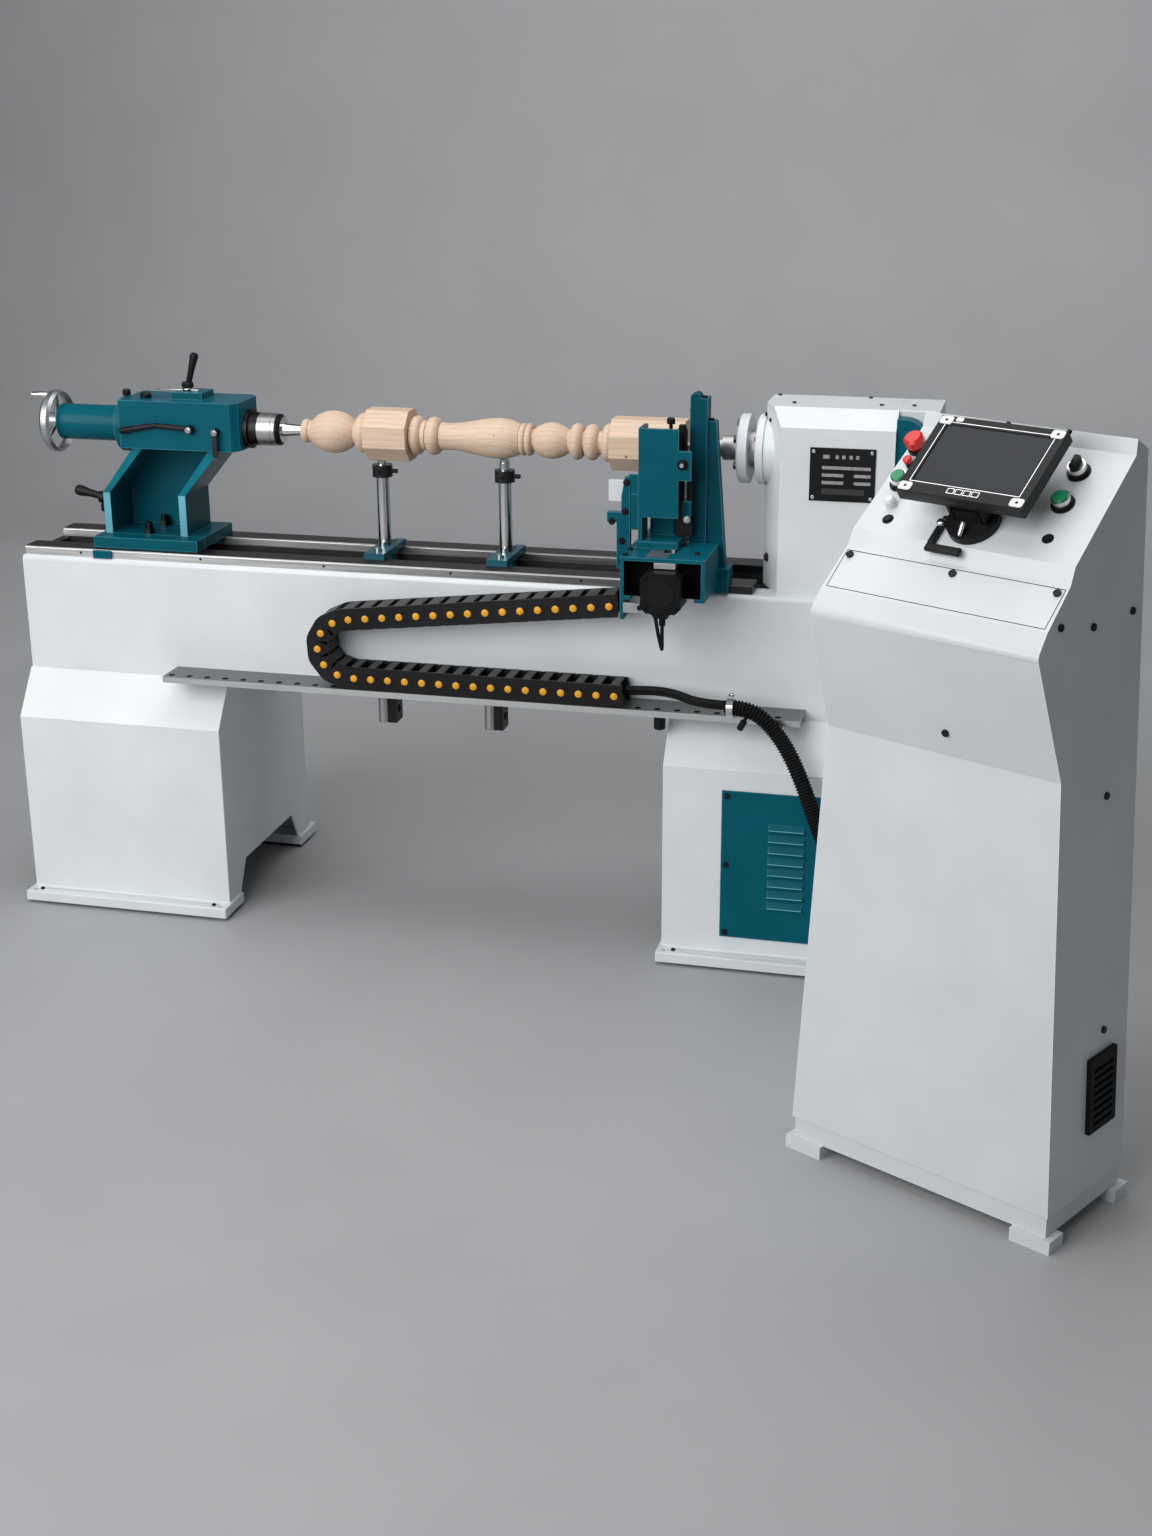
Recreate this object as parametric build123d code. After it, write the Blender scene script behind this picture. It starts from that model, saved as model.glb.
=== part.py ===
from build123d import *
import os
from math import atan2, asin, cos, degrees, hypot, pi, radians, sin, tan

os.makedirs("parts", exist_ok=True)

# Whole machine: X runs along the bed towards the headstock, Y away from the operator, Z up from the floor.
# Every piece is drawn with the spindle axis in the plane Y = 0 and moved back when it is written.
axis_lead = 50.0
cut_over = 20.0
slide_gap = 0.1
run_gap = 0.3
bearing_gap = 0.05
half_share = 0.5
hex_sides = 6

# Bed and rails
bed_half = 1025.0
bed_half_width = 137.0
bed_top = 837.0
bed_bottom = 565.0
bed_wall = 20.0
bed_flange = 25.0
bed_edge_radius = 11.0
rib_pitch = 400.0
rib_count = 4
rib_height = 120.0
rib_thick = 14.0
rail_half_gap = 65.0
rail_width = 60.0
rail_height = 20.0
rail_left = -1022.0
rail_right = 700.0
rail_chamfer = 3.0
rail_top = bed_top + rail_height
rail_front = -(rail_half_gap + rail_width)
centre_height = 273.0
axis_height = rail_top + centre_height

# Pedestals
ped_inner = 524.0
ped_outer = 1030.0
ped_half_depth = 261.0
ped_kink = 463.0
ped_shoulder = 74.0
ped_wall = 6.0
foot_thick = 24.0
foot_depth = 112.0
foot_half_depth = 302.0
foot_side = 6.0
pad_height = 8.0
pad_inset = 8.0
pad_depth = 60.0
foot_top = pad_height + foot_thick
arch_half_base = 190.0
arch_half_top = 150.0
arch_top = 105.0
anchor_hole = 14.0
anchor_inset = 20.0
ped_front = axis_lead - ped_half_depth

# Louvred panel on the right pedestal
panel_left = 657.0
panel_width = 290.0
panel_bottom = 69.0
panel_height = 348.0
panel_thick = 3.0
panel_rim = 24.0
louvre_count = 8
louvre_length = 78.0
louvre_pitch = 26.4
louvre_height = 13.0
louvre_depth = 9.0
louvre_skin = 2.0
louvre_low = 149.0

# Chain tray under the front edge of the bed
tray_left = -650.0
tray_right = 824.0
tray_top = 590.0
tray_depth = 85.0
tray_thick = 4.0
tray_lip = 14.0
tray_hole = 11.0
tray_pitch = 44.0
tray_hole_inset = 16.0

# Headstock
head_left = 705.0
head_bevel_x = 750.0
head_bevel_y = -15.0
head_front = -110.0
head_rear = 95.0
head_right = 990.0
head_rise = 104.0
head_top = axis_height + head_rise
head_shoulder_drop = 36.0
head_shoulder = head_top - head_shoulder_drop
head_shoulder_y = -60.0
head_wall = 12.0
head_end_wall = 20.0
chamber_left = 770.0
head_roof = 48.0
chamber_top = head_top - head_roof
boss_radius = 72.0
flange_radius = 76.0
flange_thick = 16.0
flange_bore = 44.0
flange_edge = 3.0
guard_right = 1075.0
guard_front = -60.0
guard_wall = 4.0
cover_right = 1056.0
cover_front = -102.0
cover_drop = 12.0
cover_top = head_top - cover_drop
cover_radius = 52.0
cover_wall = 4.0

# Spindle, bearings and belt drive
drive_tip = 530.0
drive_tip_radius = 9.0
drive_point = 12.0
nose_start = 545.0
nose_radius = 20.0
drum_start = 610.0
drum_radius = 27.0
faceplate_left = 648.0
faceplate_thick = 22.0
faceplate_radius = 75.0
faceplate_bolts = 6
faceplate_bolt_circle = 56.0
bolt_head = 9.0
bolt_head_height = 8.0
journal_radius = 40.0
front_seat_radius = 36.0
front_bearing_left = 716.0
front_bearing_length = 32.0
front_bearing_radius = 62.0
shaft_radius = 30.0
rear_bearing_radius = 52.0
pulley_seat_radius = 20.0
pulley_left = 1002.0
pulley_width = 34.0
pulley_flange = 4.0
pulley_rim = 4.0
spindle_pulley_radius = 50.0
motor_pulley_radius = 36.0
belt_thick = 5.0
motor_radius = 74.0
motor_left = 790.0
motor_flange_radius = 82.0
motor_lift = 11.0
motor_height = bed_top + motor_lift + motor_flange_radius
motor_flange = 12.0
motor_shaft_radius = 12.0
motor_shaft_depth = 60.0

# Turned baluster between the centres, from left to right: form, length and radius
work_left = -363.0
work_neck = 24.0
octagon_radius = 61.0
octagon_sides = 8
work_forms = [
    ("bead", 20.0, 27.0), ("neck", 4.0, work_neck), ("ball", 104.0, 48.0), ("neck", 6.0, 27.0),
    ("bead", 28.0, 45.0), ("octagon", 100.0, octagon_radius), ("bead", 26.0, 44.0), ("neck", 10.0, 33.0),
    ("bead", 34.0, 43.0), ("vase", 184.0, 45.0), ("bead", 14.0, 36.0), ("bead", 14.0, 36.0),
    ("neck", 4.0, work_neck), ("ball", 80.0, 40.0), ("neck", 4.0, 26.0), ("bead", 28.0, 40.0),
    ("neck", 4.0, work_neck), ("bead", 32.0, 40.0), ("neck", 10.0, 25.0), ("bead", 22.0, 42.0),
    ("octagon", 164.0, octagon_radius),
]
vase_start_radius = 31.0
vase_end_radius = 33.0
vase_slim_share = 0.32
vase_slim_radius = 34.0
vase_wide_share = 0.7

# Tailstock
stand_left = -855.0
stand_right = -597.0
stand_half_width = 104.0
stand_base = 25.0
web_left = -845.0
web_right = -656.0
web_thick = 17.0
web_front = -58.0
web_rear = 76.0
web_straight = 120.0
web_knee = rail_top + web_straight
web_lean = 84.0
web_flare = 8.0
back_thick = 18.0
tail_left = -785.0
tail_right = -496.0
tail_half_width = 70.0
tail_drop = 44.0
tail_bottom = axis_height - tail_drop
tail_rise = 66.0
tail_top = axis_height + tail_rise
tail_bevel = 16.0
tail_flange_radius = 63.0
tail_flange_left = -803.0
barrel_left = -960.0
barrel_radius = 41.0
barrel_bore = 28.0
barrel_end = 10.0
end_ring_thick = 12.0
end_ring_radius = 45.0
quill_radius = 37.5
quill_left = -725.0
quill_travel = 50.0
quill_right = -431.0
quill_bore_end = -600.0
screw_radius = 11.0
screw_right = -655.0
tail_boss_left = -668.0
tail_boss_right = -592.0
tail_boss_half = 34.0
tail_boss_rise = 16.0
tail_boss_top = tail_top + tail_boss_rise
centre_nose_length = 22.0
centre_nose_radius = 36.0
centre_nose_bevel = 7.0
centre_shank_length = 17.0
centre_shank_radius = 16.0
centre_tip_radius = 11.0
centre_stub_radius = 14.0
centre_stub_length = 50.0
wheel_x = -976.0
wheel_radius = 72.0
wheel_rim = 11.0
wheel_rim_width = 26.0
wheel_hub_radius = 19.0
wheel_hub_half = 14.0
wheel_spokes = 3
wheel_spoke_radius = 6.0
crank_circle = 60.0
crank_pin_radius = 4.0
crank_pin_length = 52.0
crank_radius = 8.0
crank_waist = 6.0
crank_length = 46.0
tail_clamp_half = 70.0
tail_clamp_x = -742.0
tail_clamp_half_width = 95.0
tail_clamp_thick = 26.0
tail_stud_radius = 8.0
tail_stud_spread = 42.0
nut_radius = 13.0
nut_height = 13.0
stud_proud = 26.0

# Tailstock levers
lock_x = -640.0
lock_boss_radius = 10.0
lock_boss_height = 16.0
lock_pin_radius = 6.0
lock_pin_depth = 12.0
handle_thin = 5.0
handle_thick = 8.0
lock_handle_length = 62.0
lock_tilt = 16.0
side_pivot_x = -608.0
side_pivot_rise = 6.0
side_pivot_z = axis_height + side_pivot_rise
side_length = 170.0
side_rod = 5.0
side_rise = 6.0
side_drop = 9.0
side_hub = 10.0
side_hub_length = 16.0
pivot_pin_radius = 5.0
pivot_pin_depth = 14.0
stop_pivot_x = -545.0
stop_pivot_rise = 2.0
stop_pivot_z = axis_height + stop_pivot_rise
stop_length = 56.0
stop_width = 12.0
stop_hub = 9.0
clamp_lever_y = -22.0
clamp_lever_rise = 101.0
clamp_lever_z = rail_top + clamp_lever_rise
clamp_hub = 14.0
clamp_hub_length = 26.0
clamp_handle_length = 58.0
clamp_handle_tilt = 78.0
clamp_handle_thin = 6.0
clamp_handle_thick = 10.0

# Work supports
support_left_x = -175.0
support_right_x = 114.0
support_half_x = 24.0
support_half_y = 80.0
support_base = 14.0
post_radius = 15.0
post_drop = 84.0
post_top = axis_height - post_drop
collar_radius = 23.0
collar_below = 13.0
collar_above = 14.0
collar_bottom = post_top - collar_below
collar_top = post_top + collar_above
rod_radius = 12.5
rod_length = 140.0
rod_tip = 8.0
rod_tip_radius = 10.5
rod_touch = 0.5
vase_radius = 45.0
support_clamp_half_y = 88.0
support_clamp_half_x = 22.0
support_clamp_thick = 24.0
support_bolt_radius = 6.0
support_bolt_y = 48.0
support_bolt_head = 9.0

# Carriage
saddle_left = 440.0
saddle_right = 649.0
saddle_front = -137.0
saddle_rear = -84.0
saddle_plate = 11.0
saddle_lip_drop = 17.0
riser_left_end = 514.0
riser_right_start = 556.0
column_seat_rise = 36.0
column_seat = rail_top + column_seat_rise
box_left = 447.0
box_right = 627.0
box_front = -300.0
box_lift = 1.0
box_bottom = rail_top + box_lift
box_height = 91.0
box_top = box_bottom + box_height
box_wall = 8.0
box_flange = 22.0
motor_plate_y = -258.0
motor_plate = 10.0
stepper_x = 541.0
stepper_rise = 26.0
stepper_z = rail_top + stepper_rise
stepper_size = 86.0
stepper_bevel = 12.0
stepper_front = -338.0
stepper_collar_radius = 36.5
gland_block_x = 26.0
gland_block_y = 30.0
gland_block_drop = 12.0
gland_radius = 7.0
gland_length = 18.0
gland_setback = 24.0
chain_plate_x = 427.2
chain_plate = 8.0
chain_plate_drop = 68.0
chain_plate_bottom = box_bottom - chain_plate_drop
column_left = 560.0
column_right = 597.0
column_front = -132.0
column_rear = -90.0
column_rise = 126.0
column_top = axis_height + column_rise
column_lug_radius = 11.0
column_lug_length = 34.0
gusset_front = -124.0
gusset_rear = -100.0
gusset_drop = 48.0
gusset_top = column_top - gusset_drop
gusset_top_width = 18.0
gusset_base_width = 42.0
bracket_front = -206.0
bracket_rear = -190.0
bracket_steps = [
    (447.0, -49.0), (418.0, -49.0), (418.0, 51.0), (397.0, 51.0), (397.0, 73.0),
    (428.0, 73.0), (428.0, 107.0), (436.0, 149.0), (447.0, 149.0),
]
screw_thread_radius = 8.0
screw_front = -248.0
screw_rear = -92.0

# Cross slide and tool
slide_left = 462.0
slide_right = 553.0
slide_front = -216.0
slide_rear = -78.0
slide_thick = 16.0
slide_edge = 3.0
slide_travel = 110.0
nut_half = 11.0
nut_front = -132.0
nut_rear = -106.0
slot_gap = 3.0
post_left = 478.0
post_right = 538.0
post_front = -152.0
post_rear = -92.0
post_rise = 32.0
post_height = axis_height + post_rise
post_bevel = 8.0
tool_size = 20.0
tool_x = 508.0
tool_front = -196.0
tool_tip = -62.5
tool_bevel = 26.0
cover_plate = 8.0
cover_left = 466.0
cover_edge = 552.0
cover_y = -212.0
cover_flange_rear = -150.0
cover_lift = 66.0
cover_bottom = box_top + cover_lift
cover_rise = 73.0
cover_height = axis_height + cover_rise
cover_tab_right = 579.0
cover_tab_below = 34.0
cover_tab_above = 28.0
cover_tab_low = axis_height - cover_tab_below
cover_tab_high = axis_height + cover_tab_above

# Drag chain
chain_pitch = 40.0
chain_height = 50.0
chain_width = 70.0
chain_y = -180.0
chain_wall = 7.0
chain_gap = 0.6
chain_taper = 9.0
chain_run_links = 16
chain_bend_links = 5
chain_bend_low_links = 3
chain_bend_radius = 67.0
chain_fixed_x = 435.0
chain_pin_radius = 8.0
chain_pin_sides = 12
chain_pin_proud = 3.0

# Leads and hose
lead_radius = 7.0
lead_route = [
    (436.0, -180.0, 616.0), (490.0, -184.0, 622.0), (548.0, -203.0, 624.0), (608.0, -237.0, 616.0),
    (664.0, -237.0, 616.0),
]
hose_radius = 15.0
hose_route = [
    (664.3, -237.0, 616.0), (702.0, -237.0, 616.0), (739.0, -238.0, 603.0), (774.0, -241.0, 572.0),
    (808.0, -248.0, 525.0), (840.0, -264.0, 465.0), (868.0, -288.0, 405.0), (898.0, -318.0, 350.0),
    (936.0, -352.0, 306.0), (981.0, -390.0, 272.0), (1030.0, -434.0, 246.0), (1078.0, -486.0, 226.0),
    (1118.0, -543.0, 212.0), (1157.0, -597.0, 204.0), (1191.4, -643.7, 201.0), (1205.6, -696.8, 200.0),
    (1198.9, -751.4, 200.0),
]
hose_gland_length = 22.0
hose_gland_radius = 22.0
hose_gland_across = 80.0
hose_height = 200.0
clip_radius = 19.0
clip_thick = 14.0
clip_x = 676.0
clip_foot = 26.0
motor_lead_radius = 4.0
motor_lead_route = [
    (0.0, 0.0, 0.0), (0.0, 0.0, -32.0), (-3.0, 16.0, -58.0), (-11.0, 46.0, -62.0), (-26.0, 76.0, -34.0),
    (-41.0, 114.0, 5.0),
]
route_share = 0.45

# Control cabinet, drawn from its front left corner: X across, Y into the depth
cab_x = 973.4
cab_y = -1000.2
cab_turn = -28.4
cab_middle = 230.0
cab_base_width = 540.0
cab_top_width = 400.0
cab_depth = 254.0
plinth_bottom = 25.0
plinth_top = 66.0
plinth_inset = 4.0
skirt_front = -5.0
kink_front = 3.0
kink_height = 842.0
nose_front = -78.0
nose_height = 1066.0
nose_top_front = -51.0
nose_top_height = 1100.0
step_low_front = 17.0
step_low_height = 1161.0
step_front = 30.0
step_height = 1189.0
console_rear = 214.0
console_height = 1336.0
ledge_rear = 218.0
ledge_height = 1362.0
back_height = 1342.0
nose_fold = 18.0
foot_long = 78.0
foot_wide = 46.0
foot_out = 10.0
keyboard_left = 23.0
keyboard_right = 437.0
keyboard_low = 6.0
keyboard_high = 84.0
keyboard_thick = 2.0
vent_front = 115.0
vent_width = 90.0
vent_bottom = 177.0
vent_height = 140.0
vent_thick = 9.0
vent_rim = 12.0
vent_slats = 8
vent_slat_share = 0.45

# Monitor, buttons and screws on the console: across, up the slope, and out of it
monitor_x = 231.0
pivot_up = 50.0
base_radius = 45.0
base_thick = 13.0
neck_half = 24.0
neck_depth = 10.0
neck_wall = 5.0
hinge_out = 30.0
hinge_radius = 5.0
ear_half = 30.0
ear_thick = 7.0
monitor_width = 236.0
monitor_low = 36.0
monitor_high = 204.0
monitor_back = 46.0
monitor_front = 76.0
monitor_bevel = 7.0
screen_side = 20.0
screen_low = 27.0
screen_high = 18.0
screen_depth = 2.5
handle_radius = 4.0
handle_drop = 64.0
handle_side = 52.0
handle_bar = 58.0
bezel_radius = 17.0
bezel_height = 8.0
stem_radius = 6.0
stem_depth = 18.0
stop_across = 47.0
stop_up = 186.0
green_left_across = 55.0
green_left_up = 109.0
green_right_across = 359.0
green_right_up = 117.0
selector_across = 354.0
selector_up = 185.0
lamp_across = 52.0
lamp_up = 148.0
cap_radius = 13.0
cap_height = 22.0
cap_edge = 2.0
press_travel = 4.0
mushroom_radius = 17.0
mushroom_edge = 4.0
mushroom_height = 32.0
mushroom_travel = 6.0
knob_radius = 14.0
knob_height = 30.0
knob_grip = 5.0
lamp_radius = 7.0
lamp_height = 12.0
screw_head = 6.5
screw_head_height = 4.0
side_screw_spots = [(-13.0, 1103.0), (90.0, 1083.0), (218.0, 1084.0), (151.0, 784.0), (168.0, 356.0)]
keyboard_screw_spots = [(34.0, 74.0), (235.0, 74.0), (426.0, 74.0)]
console_screw_spots = [(73.0, 30.0), (368.0, 45.0)]
nose_screw_spots = [(250.0, 48.0)]


# Basic forms
def block(x0, x1, y0, y1, z0, z1):
    solid = Box(x1 - x0, y1 - y0, z1 - z0, align=(Align.MIN, Align.MIN, Align.MIN))
    return Pos(x0, y0, z0) * solid


def along_x(x0, x1, radius, y=0, z=axis_height):
    solid = Cylinder(radius, x1 - x0, align=(Align.CENTER, Align.CENTER, Align.MIN))
    return Pos(x0, y, z) * Rot(0, 90, 0) * solid


def along_y(y0, y1, radius, x, z):
    solid = Cylinder(radius, y1 - y0, align=(Align.CENTER, Align.CENTER, Align.MIN))
    return Pos(x, y0, z) * Rot(-90, 0, 0) * solid


def upright(z0, z1, radius, x, y):
    solid = Cylinder(radius, z1 - z0, align=(Align.CENTER, Align.CENTER, Align.MIN))
    return Pos(x, y, z0) * solid


def side_plate(points, x0, x1):
    return extrude(Plane.YZ.offset(x0) * make_face(Polyline(*points, close=True)), amount=x1 - x0)


def front_plate(points, y0, y1):
    return extrude(Plane.XZ.offset(-y1) * make_face(Polyline(*points, close=True)), amount=y1 - y0)


def flat_plate(points, z0, z1):
    return extrude(Plane.XY.offset(z0) * make_face(Polyline(*points, close=True)), amount=z1 - z0)


def turned(profile):
    points = [(x, axis_height + radius) for x, radius in profile]
    face = Plane.XZ * make_face(Polyline(*points, close=True))
    return revolve(face, Axis((0, 0, axis_height), (1, 0, 0)))


def turned_steps(start, steps):
    profile = [(start, 0)]
    for end, radius in steps:
        profile += [(start, radius), (end, radius)]
        start = end
    return turned(profile + [(start, 0)])


def ring(x0, x1, outer, inner):
    return turned([(x0, inner), (x1, inner), (x1, outer), (x0, outer)])


def handle(start, direction, length, thin, thick):
    cone = Cone(thin, thick, length, align=(Align.CENTER, Align.CENTER, Align.MIN))
    return Plane(origin=start, z_dir=direction) * cone


def group(solids):
    return Compound([solid for shape in solids for solid in shape.solids()])


def keep(name, shape):
    export_step(Pos(0, -axis_lead, 0) * shape, f"parts/{name}.step")


# Bed and pedestals
def bed():
    beam = block(-bed_half, bed_half, -bed_half_width, bed_half_width, bed_bottom, bed_top)
    edges = beam.edges().filter_by(Axis.X).group_by(Axis.Z)[-1]
    beam = fillet(edges, bed_edge_radius)
    inner = bed_half_width - bed_wall
    hollow = block(
        -bed_half + bed_wall, bed_half - bed_wall, -inner, inner, bed_bottom + bed_wall,
        bed_top - bed_flange,
    )
    slot = block(
        -bed_half + bed_wall, bed_half - bed_wall, -rail_half_gap, rail_half_gap, bed_bottom + bed_wall,
        bed_top + cut_over,
    )
    beam = beam - hollow - slot
    for index in range(rib_count):
        x = (index - (rib_count - 1) * half_share) * rib_pitch
        floor = bed_bottom + bed_wall
        beam += block(
            x - rib_thick * half_share, x + rib_thick * half_share, -inner, inner, floor,
            floor + rib_height,
        )
    return beam


def bed_rails():
    bars = []
    for y0 in (rail_half_gap, rail_front):
        bar = block(rail_left, rail_right, y0, y0 + rail_width, bed_top, rail_top)
        bars.append(chamfer(bar.edges().filter_by(Axis.X).group_by(Axis.Z)[-1], rail_chamfer))
    return group(bars)


def pedestal_outline(inset, bottom):
    half = ped_half_depth - inset
    points = [(-half, bottom), (half, bottom), (half, ped_kink), (half - ped_shoulder, bed_bottom - inset)]
    points += [(ped_shoulder - half, bed_bottom - inset), (-half, ped_kink)]
    return [(axis_lead + y, z) for y, z in points]


def pedestal():
    body = side_plate(pedestal_outline(0, foot_top), ped_inner, ped_outer)
    body -= side_plate(pedestal_outline(ped_wall, 0), ped_inner + ped_wall, ped_outer - ped_wall)
    arch = [
        (-arch_half_base, foot_top - cut_over), (arch_half_base, foot_top - cut_over),
        (arch_half_base, foot_top),
    ]
    arch += [(arch_half_top, arch_top), (-arch_half_top, arch_top), (-arch_half_base, foot_top)]
    body -= side_plate([(axis_lead + y, z) for y, z in arch], ped_inner - cut_over, ped_outer + cut_over)
    for side in (-1, 1):
        outer = axis_lead + side * foot_half_depth
        inner = axis_lead + side * (foot_half_depth - foot_depth)
        plate = block(
            ped_inner - foot_side, ped_outer + foot_side, min(outer, inner), max(outer, inner),
            pad_height, foot_top,
        )
        for x in (ped_inner - foot_side + anchor_inset, ped_outer + foot_side - anchor_inset):
            plate -= upright(
                0, foot_top + cut_over, anchor_hole * half_share, x, outer - side * anchor_inset,
            )
        body += plate
    return body


def right_pedestal():
    left = panel_left + panel_rim
    right = panel_left + panel_width - panel_rim
    low = panel_bottom + panel_rim
    high = panel_bottom + panel_height - panel_rim
    window = block(left, right, ped_front - cut_over, ped_front + cut_over, low, high)
    return pedestal() - window


def floor_pads():
    pads = []
    for side in (-1, 1):
        inner = axis_lead + side * (foot_half_depth - foot_depth + pad_inset)
        outer = inner + side * pad_depth
        pad = block(ped_inner, ped_outer, min(inner, outer), max(inner, outer), 0, pad_height)
        pads += [pad, mirror(pad, about=Plane.YZ)]
    return group(pads)


def louvre_panel():
    face_y = ped_front - panel_thick
    sheet = block(
        panel_left, panel_left + panel_width, face_y, ped_front, panel_bottom,
        panel_bottom + panel_height,
    )
    middle = panel_left + panel_width * half_share
    half = louvre_length * half_share
    for index in range(louvre_count):
        z = louvre_low + index * louvre_pitch
        hood = [(face_y, z), (face_y - louvre_depth, z), (face_y, z + louvre_height)]
        hollow = [
            (ped_front + cut_over, z - louvre_skin),
            (face_y - louvre_depth + louvre_skin, z - louvre_skin),
        ]
        hollow += [
            (face_y, z + louvre_height - louvre_skin),
            (ped_front + cut_over, z + louvre_height - louvre_skin),
        ]
        sheet += side_plate(hood, middle - half, middle + half)
        sheet -= side_plate(hollow, middle - half + louvre_skin, middle + half - louvre_skin)
    return sheet


def chain_tray():
    face = -bed_half_width
    outline = [(face, tray_top - tray_thick), (face, tray_top), (face - tray_depth, tray_top)]
    outline += [
        (face - tray_depth, tray_top - tray_lip), (face - tray_depth + tray_thick, tray_top - tray_lip),
    ]
    outline += [(face - tray_depth + tray_thick, tray_top - tray_thick)]
    tray = side_plate(outline, tray_left, tray_right)
    flange = block(tray_left, tray_right, face - tray_thick, face, bed_bottom, tray_top)
    holes = []
    count = int((tray_right - tray_left - 2 * tray_hole_inset) // tray_pitch) + 1
    for index in range(count):
        x = tray_left + tray_hole_inset + index * tray_pitch
        y = face - tray_depth + tray_hole_inset
        holes.append(upright(bed_bottom, tray_top + cut_over, tray_hole * half_share, x, y))
    return tray + flange - holes


# Headstock and its drive
def headstock_housing():
    plan = [(head_bevel_x, head_front), (head_right, head_front), (head_right, head_rear)]
    plan += [(head_left, head_rear), (head_left, head_bevel_y)]
    housing = flat_plate(plan, bed_top, head_top)
    wedge = [
        (head_front - cut_over, head_shoulder - cut_over), (head_front, head_shoulder),
        (head_shoulder_y, head_top),
    ]
    wedge += [(head_shoulder_y, head_top + cut_over), (head_front - cut_over, head_top + cut_over)]
    housing -= side_plate(wedge, head_left - cut_over, head_right + cut_over)
    housing += along_x(head_left, chamber_left, boss_radius)
    chamber = block(
        chamber_left, head_right - head_end_wall, head_front + head_wall, head_rear - head_wall,
        bed_top - cut_over, chamber_top,
    )
    housing -= chamber
    housing -= along_x(head_left - cut_over, chamber_left + cut_over, flange_bore)
    housing -= along_x(front_bearing_left, chamber_left + cut_over, front_bearing_radius)
    housing -= along_x(head_right - head_end_wall - cut_over, head_right + cut_over, rear_bearing_radius)
    housing -= along_x(
        head_right - head_end_wall - cut_over, head_right + cut_over, motor_shaft_radius + run_gap, 0,
        motor_height,
    )
    return housing


def bearing_flange():
    left = head_left - flange_thick
    outline = [(left, flange_bore), (head_left, flange_bore), (head_left, flange_radius)]
    outline += [(left + flange_edge, flange_radius), (left, flange_radius - flange_edge)]
    return turned(outline)


def belt_guard():
    guard = block(head_right, guard_right, guard_front, head_rear, bed_top, head_top)
    inside = block(
        head_right - cut_over, guard_right - guard_wall, guard_front + guard_wall,
        head_rear - guard_wall, bed_top + guard_wall, head_top - guard_wall,
    )
    return guard - inside


def pulley_cover():
    def arch(inset, y0, y1):
        box = block(head_right + inset, cover_right - inset, y0, y1, bed_top + inset, cover_top - inset)
        corner = box.edges().filter_by(Axis.Y).group_by(Axis.Z)[-1].sort_by(Axis.X)[-1]
        return fillet(corner, cover_radius - inset)

    return arch(0, cover_front, guard_front) - arch(
        cover_wall, cover_front + cover_wall, guard_front + cut_over,
    )


def spindle():
    shoulder = faceplate_left + faceplate_thick
    bearing_end = front_bearing_left + front_bearing_length
    right = pulley_left + pulley_width
    steps = [(nose_start, drive_tip_radius), (drum_start, nose_radius), (shoulder, drum_radius)]
    steps += [(front_bearing_left, journal_radius), (bearing_end, front_seat_radius)]
    steps += [(head_right, shaft_radius), (right, pulley_seat_radius)]
    return turned_steps(drive_tip - drive_point, steps)


def spindle_flange():
    right = faceplate_left + faceplate_thick
    outline = [(faceplate_left, drum_radius), (right, drum_radius), (right, faceplate_radius)]
    outline += [
        (faceplate_left + flange_edge, faceplate_radius),
        (faceplate_left, faceplate_radius - flange_edge),
    ]
    return turned(outline)


def spindle_flange_bolts():
    heads = []
    for index in range(faceplate_bolts):
        angle = 2 * pi * (index + half_share) / faceplate_bolts
        head = extrude(Plane.YZ * RegularPolygon(bolt_head, hex_sides), amount=-bolt_head_height)
        y = faceplate_bolt_circle * cos(angle)
        z = axis_height + faceplate_bolt_circle * sin(angle)
        heads.append(Pos(faceplate_left, y, z) * head)
    return group(heads)


def spindle_bearings():
    front_right = front_bearing_left + front_bearing_length
    front = ring(front_bearing_left, front_right, front_bearing_radius, front_seat_radius + bearing_gap)
    rear = ring(head_right - head_end_wall, head_right, rear_bearing_radius, shaft_radius + bearing_gap)
    return group([front, rear])


def pulley_outline(radius, bore):
    right = pulley_left + pulley_width
    rim = radius + pulley_rim
    outline = [
        (pulley_left, bore), (right, bore), (right, rim), (right - pulley_flange, rim),
        (right - pulley_flange, radius),
    ]
    return outline + [
        (pulley_left + pulley_flange, radius), (pulley_left + pulley_flange, rim), (pulley_left, rim),
    ]


def lowered(shape):
    return Pos(0, 0, motor_height - axis_height) * shape


def spindle_pulley():
    return turned(pulley_outline(spindle_pulley_radius, pulley_seat_radius))


def motor_pulley():
    shaft = along_x(
        head_right - head_end_wall - motor_shaft_depth, pulley_left + pulley_width, motor_shaft_radius,
    )
    return lowered(turned(pulley_outline(motor_pulley_radius, motor_shaft_radius)) + shaft)


def main_motor():
    seat = head_right - head_end_wall
    body = along_x(motor_left, seat - motor_flange, motor_radius)
    body += along_x(seat - motor_flange, seat, motor_flange_radius)
    body -= along_x(seat - motor_shaft_depth - run_gap, seat + cut_over, motor_shaft_radius + run_gap)
    return lowered(body)


def belt_loop(extra):
    upper = Pos(0, axis_height) * Circle(spindle_pulley_radius + extra)
    lower = Pos(0, motor_height) * Circle(motor_pulley_radius + extra)
    return make_hull(upper.edges() + lower.edges())


def drive_belt():
    x0 = pulley_left + pulley_flange + run_gap
    width = pulley_width - 2 * (pulley_flange + run_gap)
    band = belt_loop(run_gap + belt_thick) - belt_loop(run_gap)
    return extrude(Plane.YZ.offset(x0) * band, amount=width)


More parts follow.
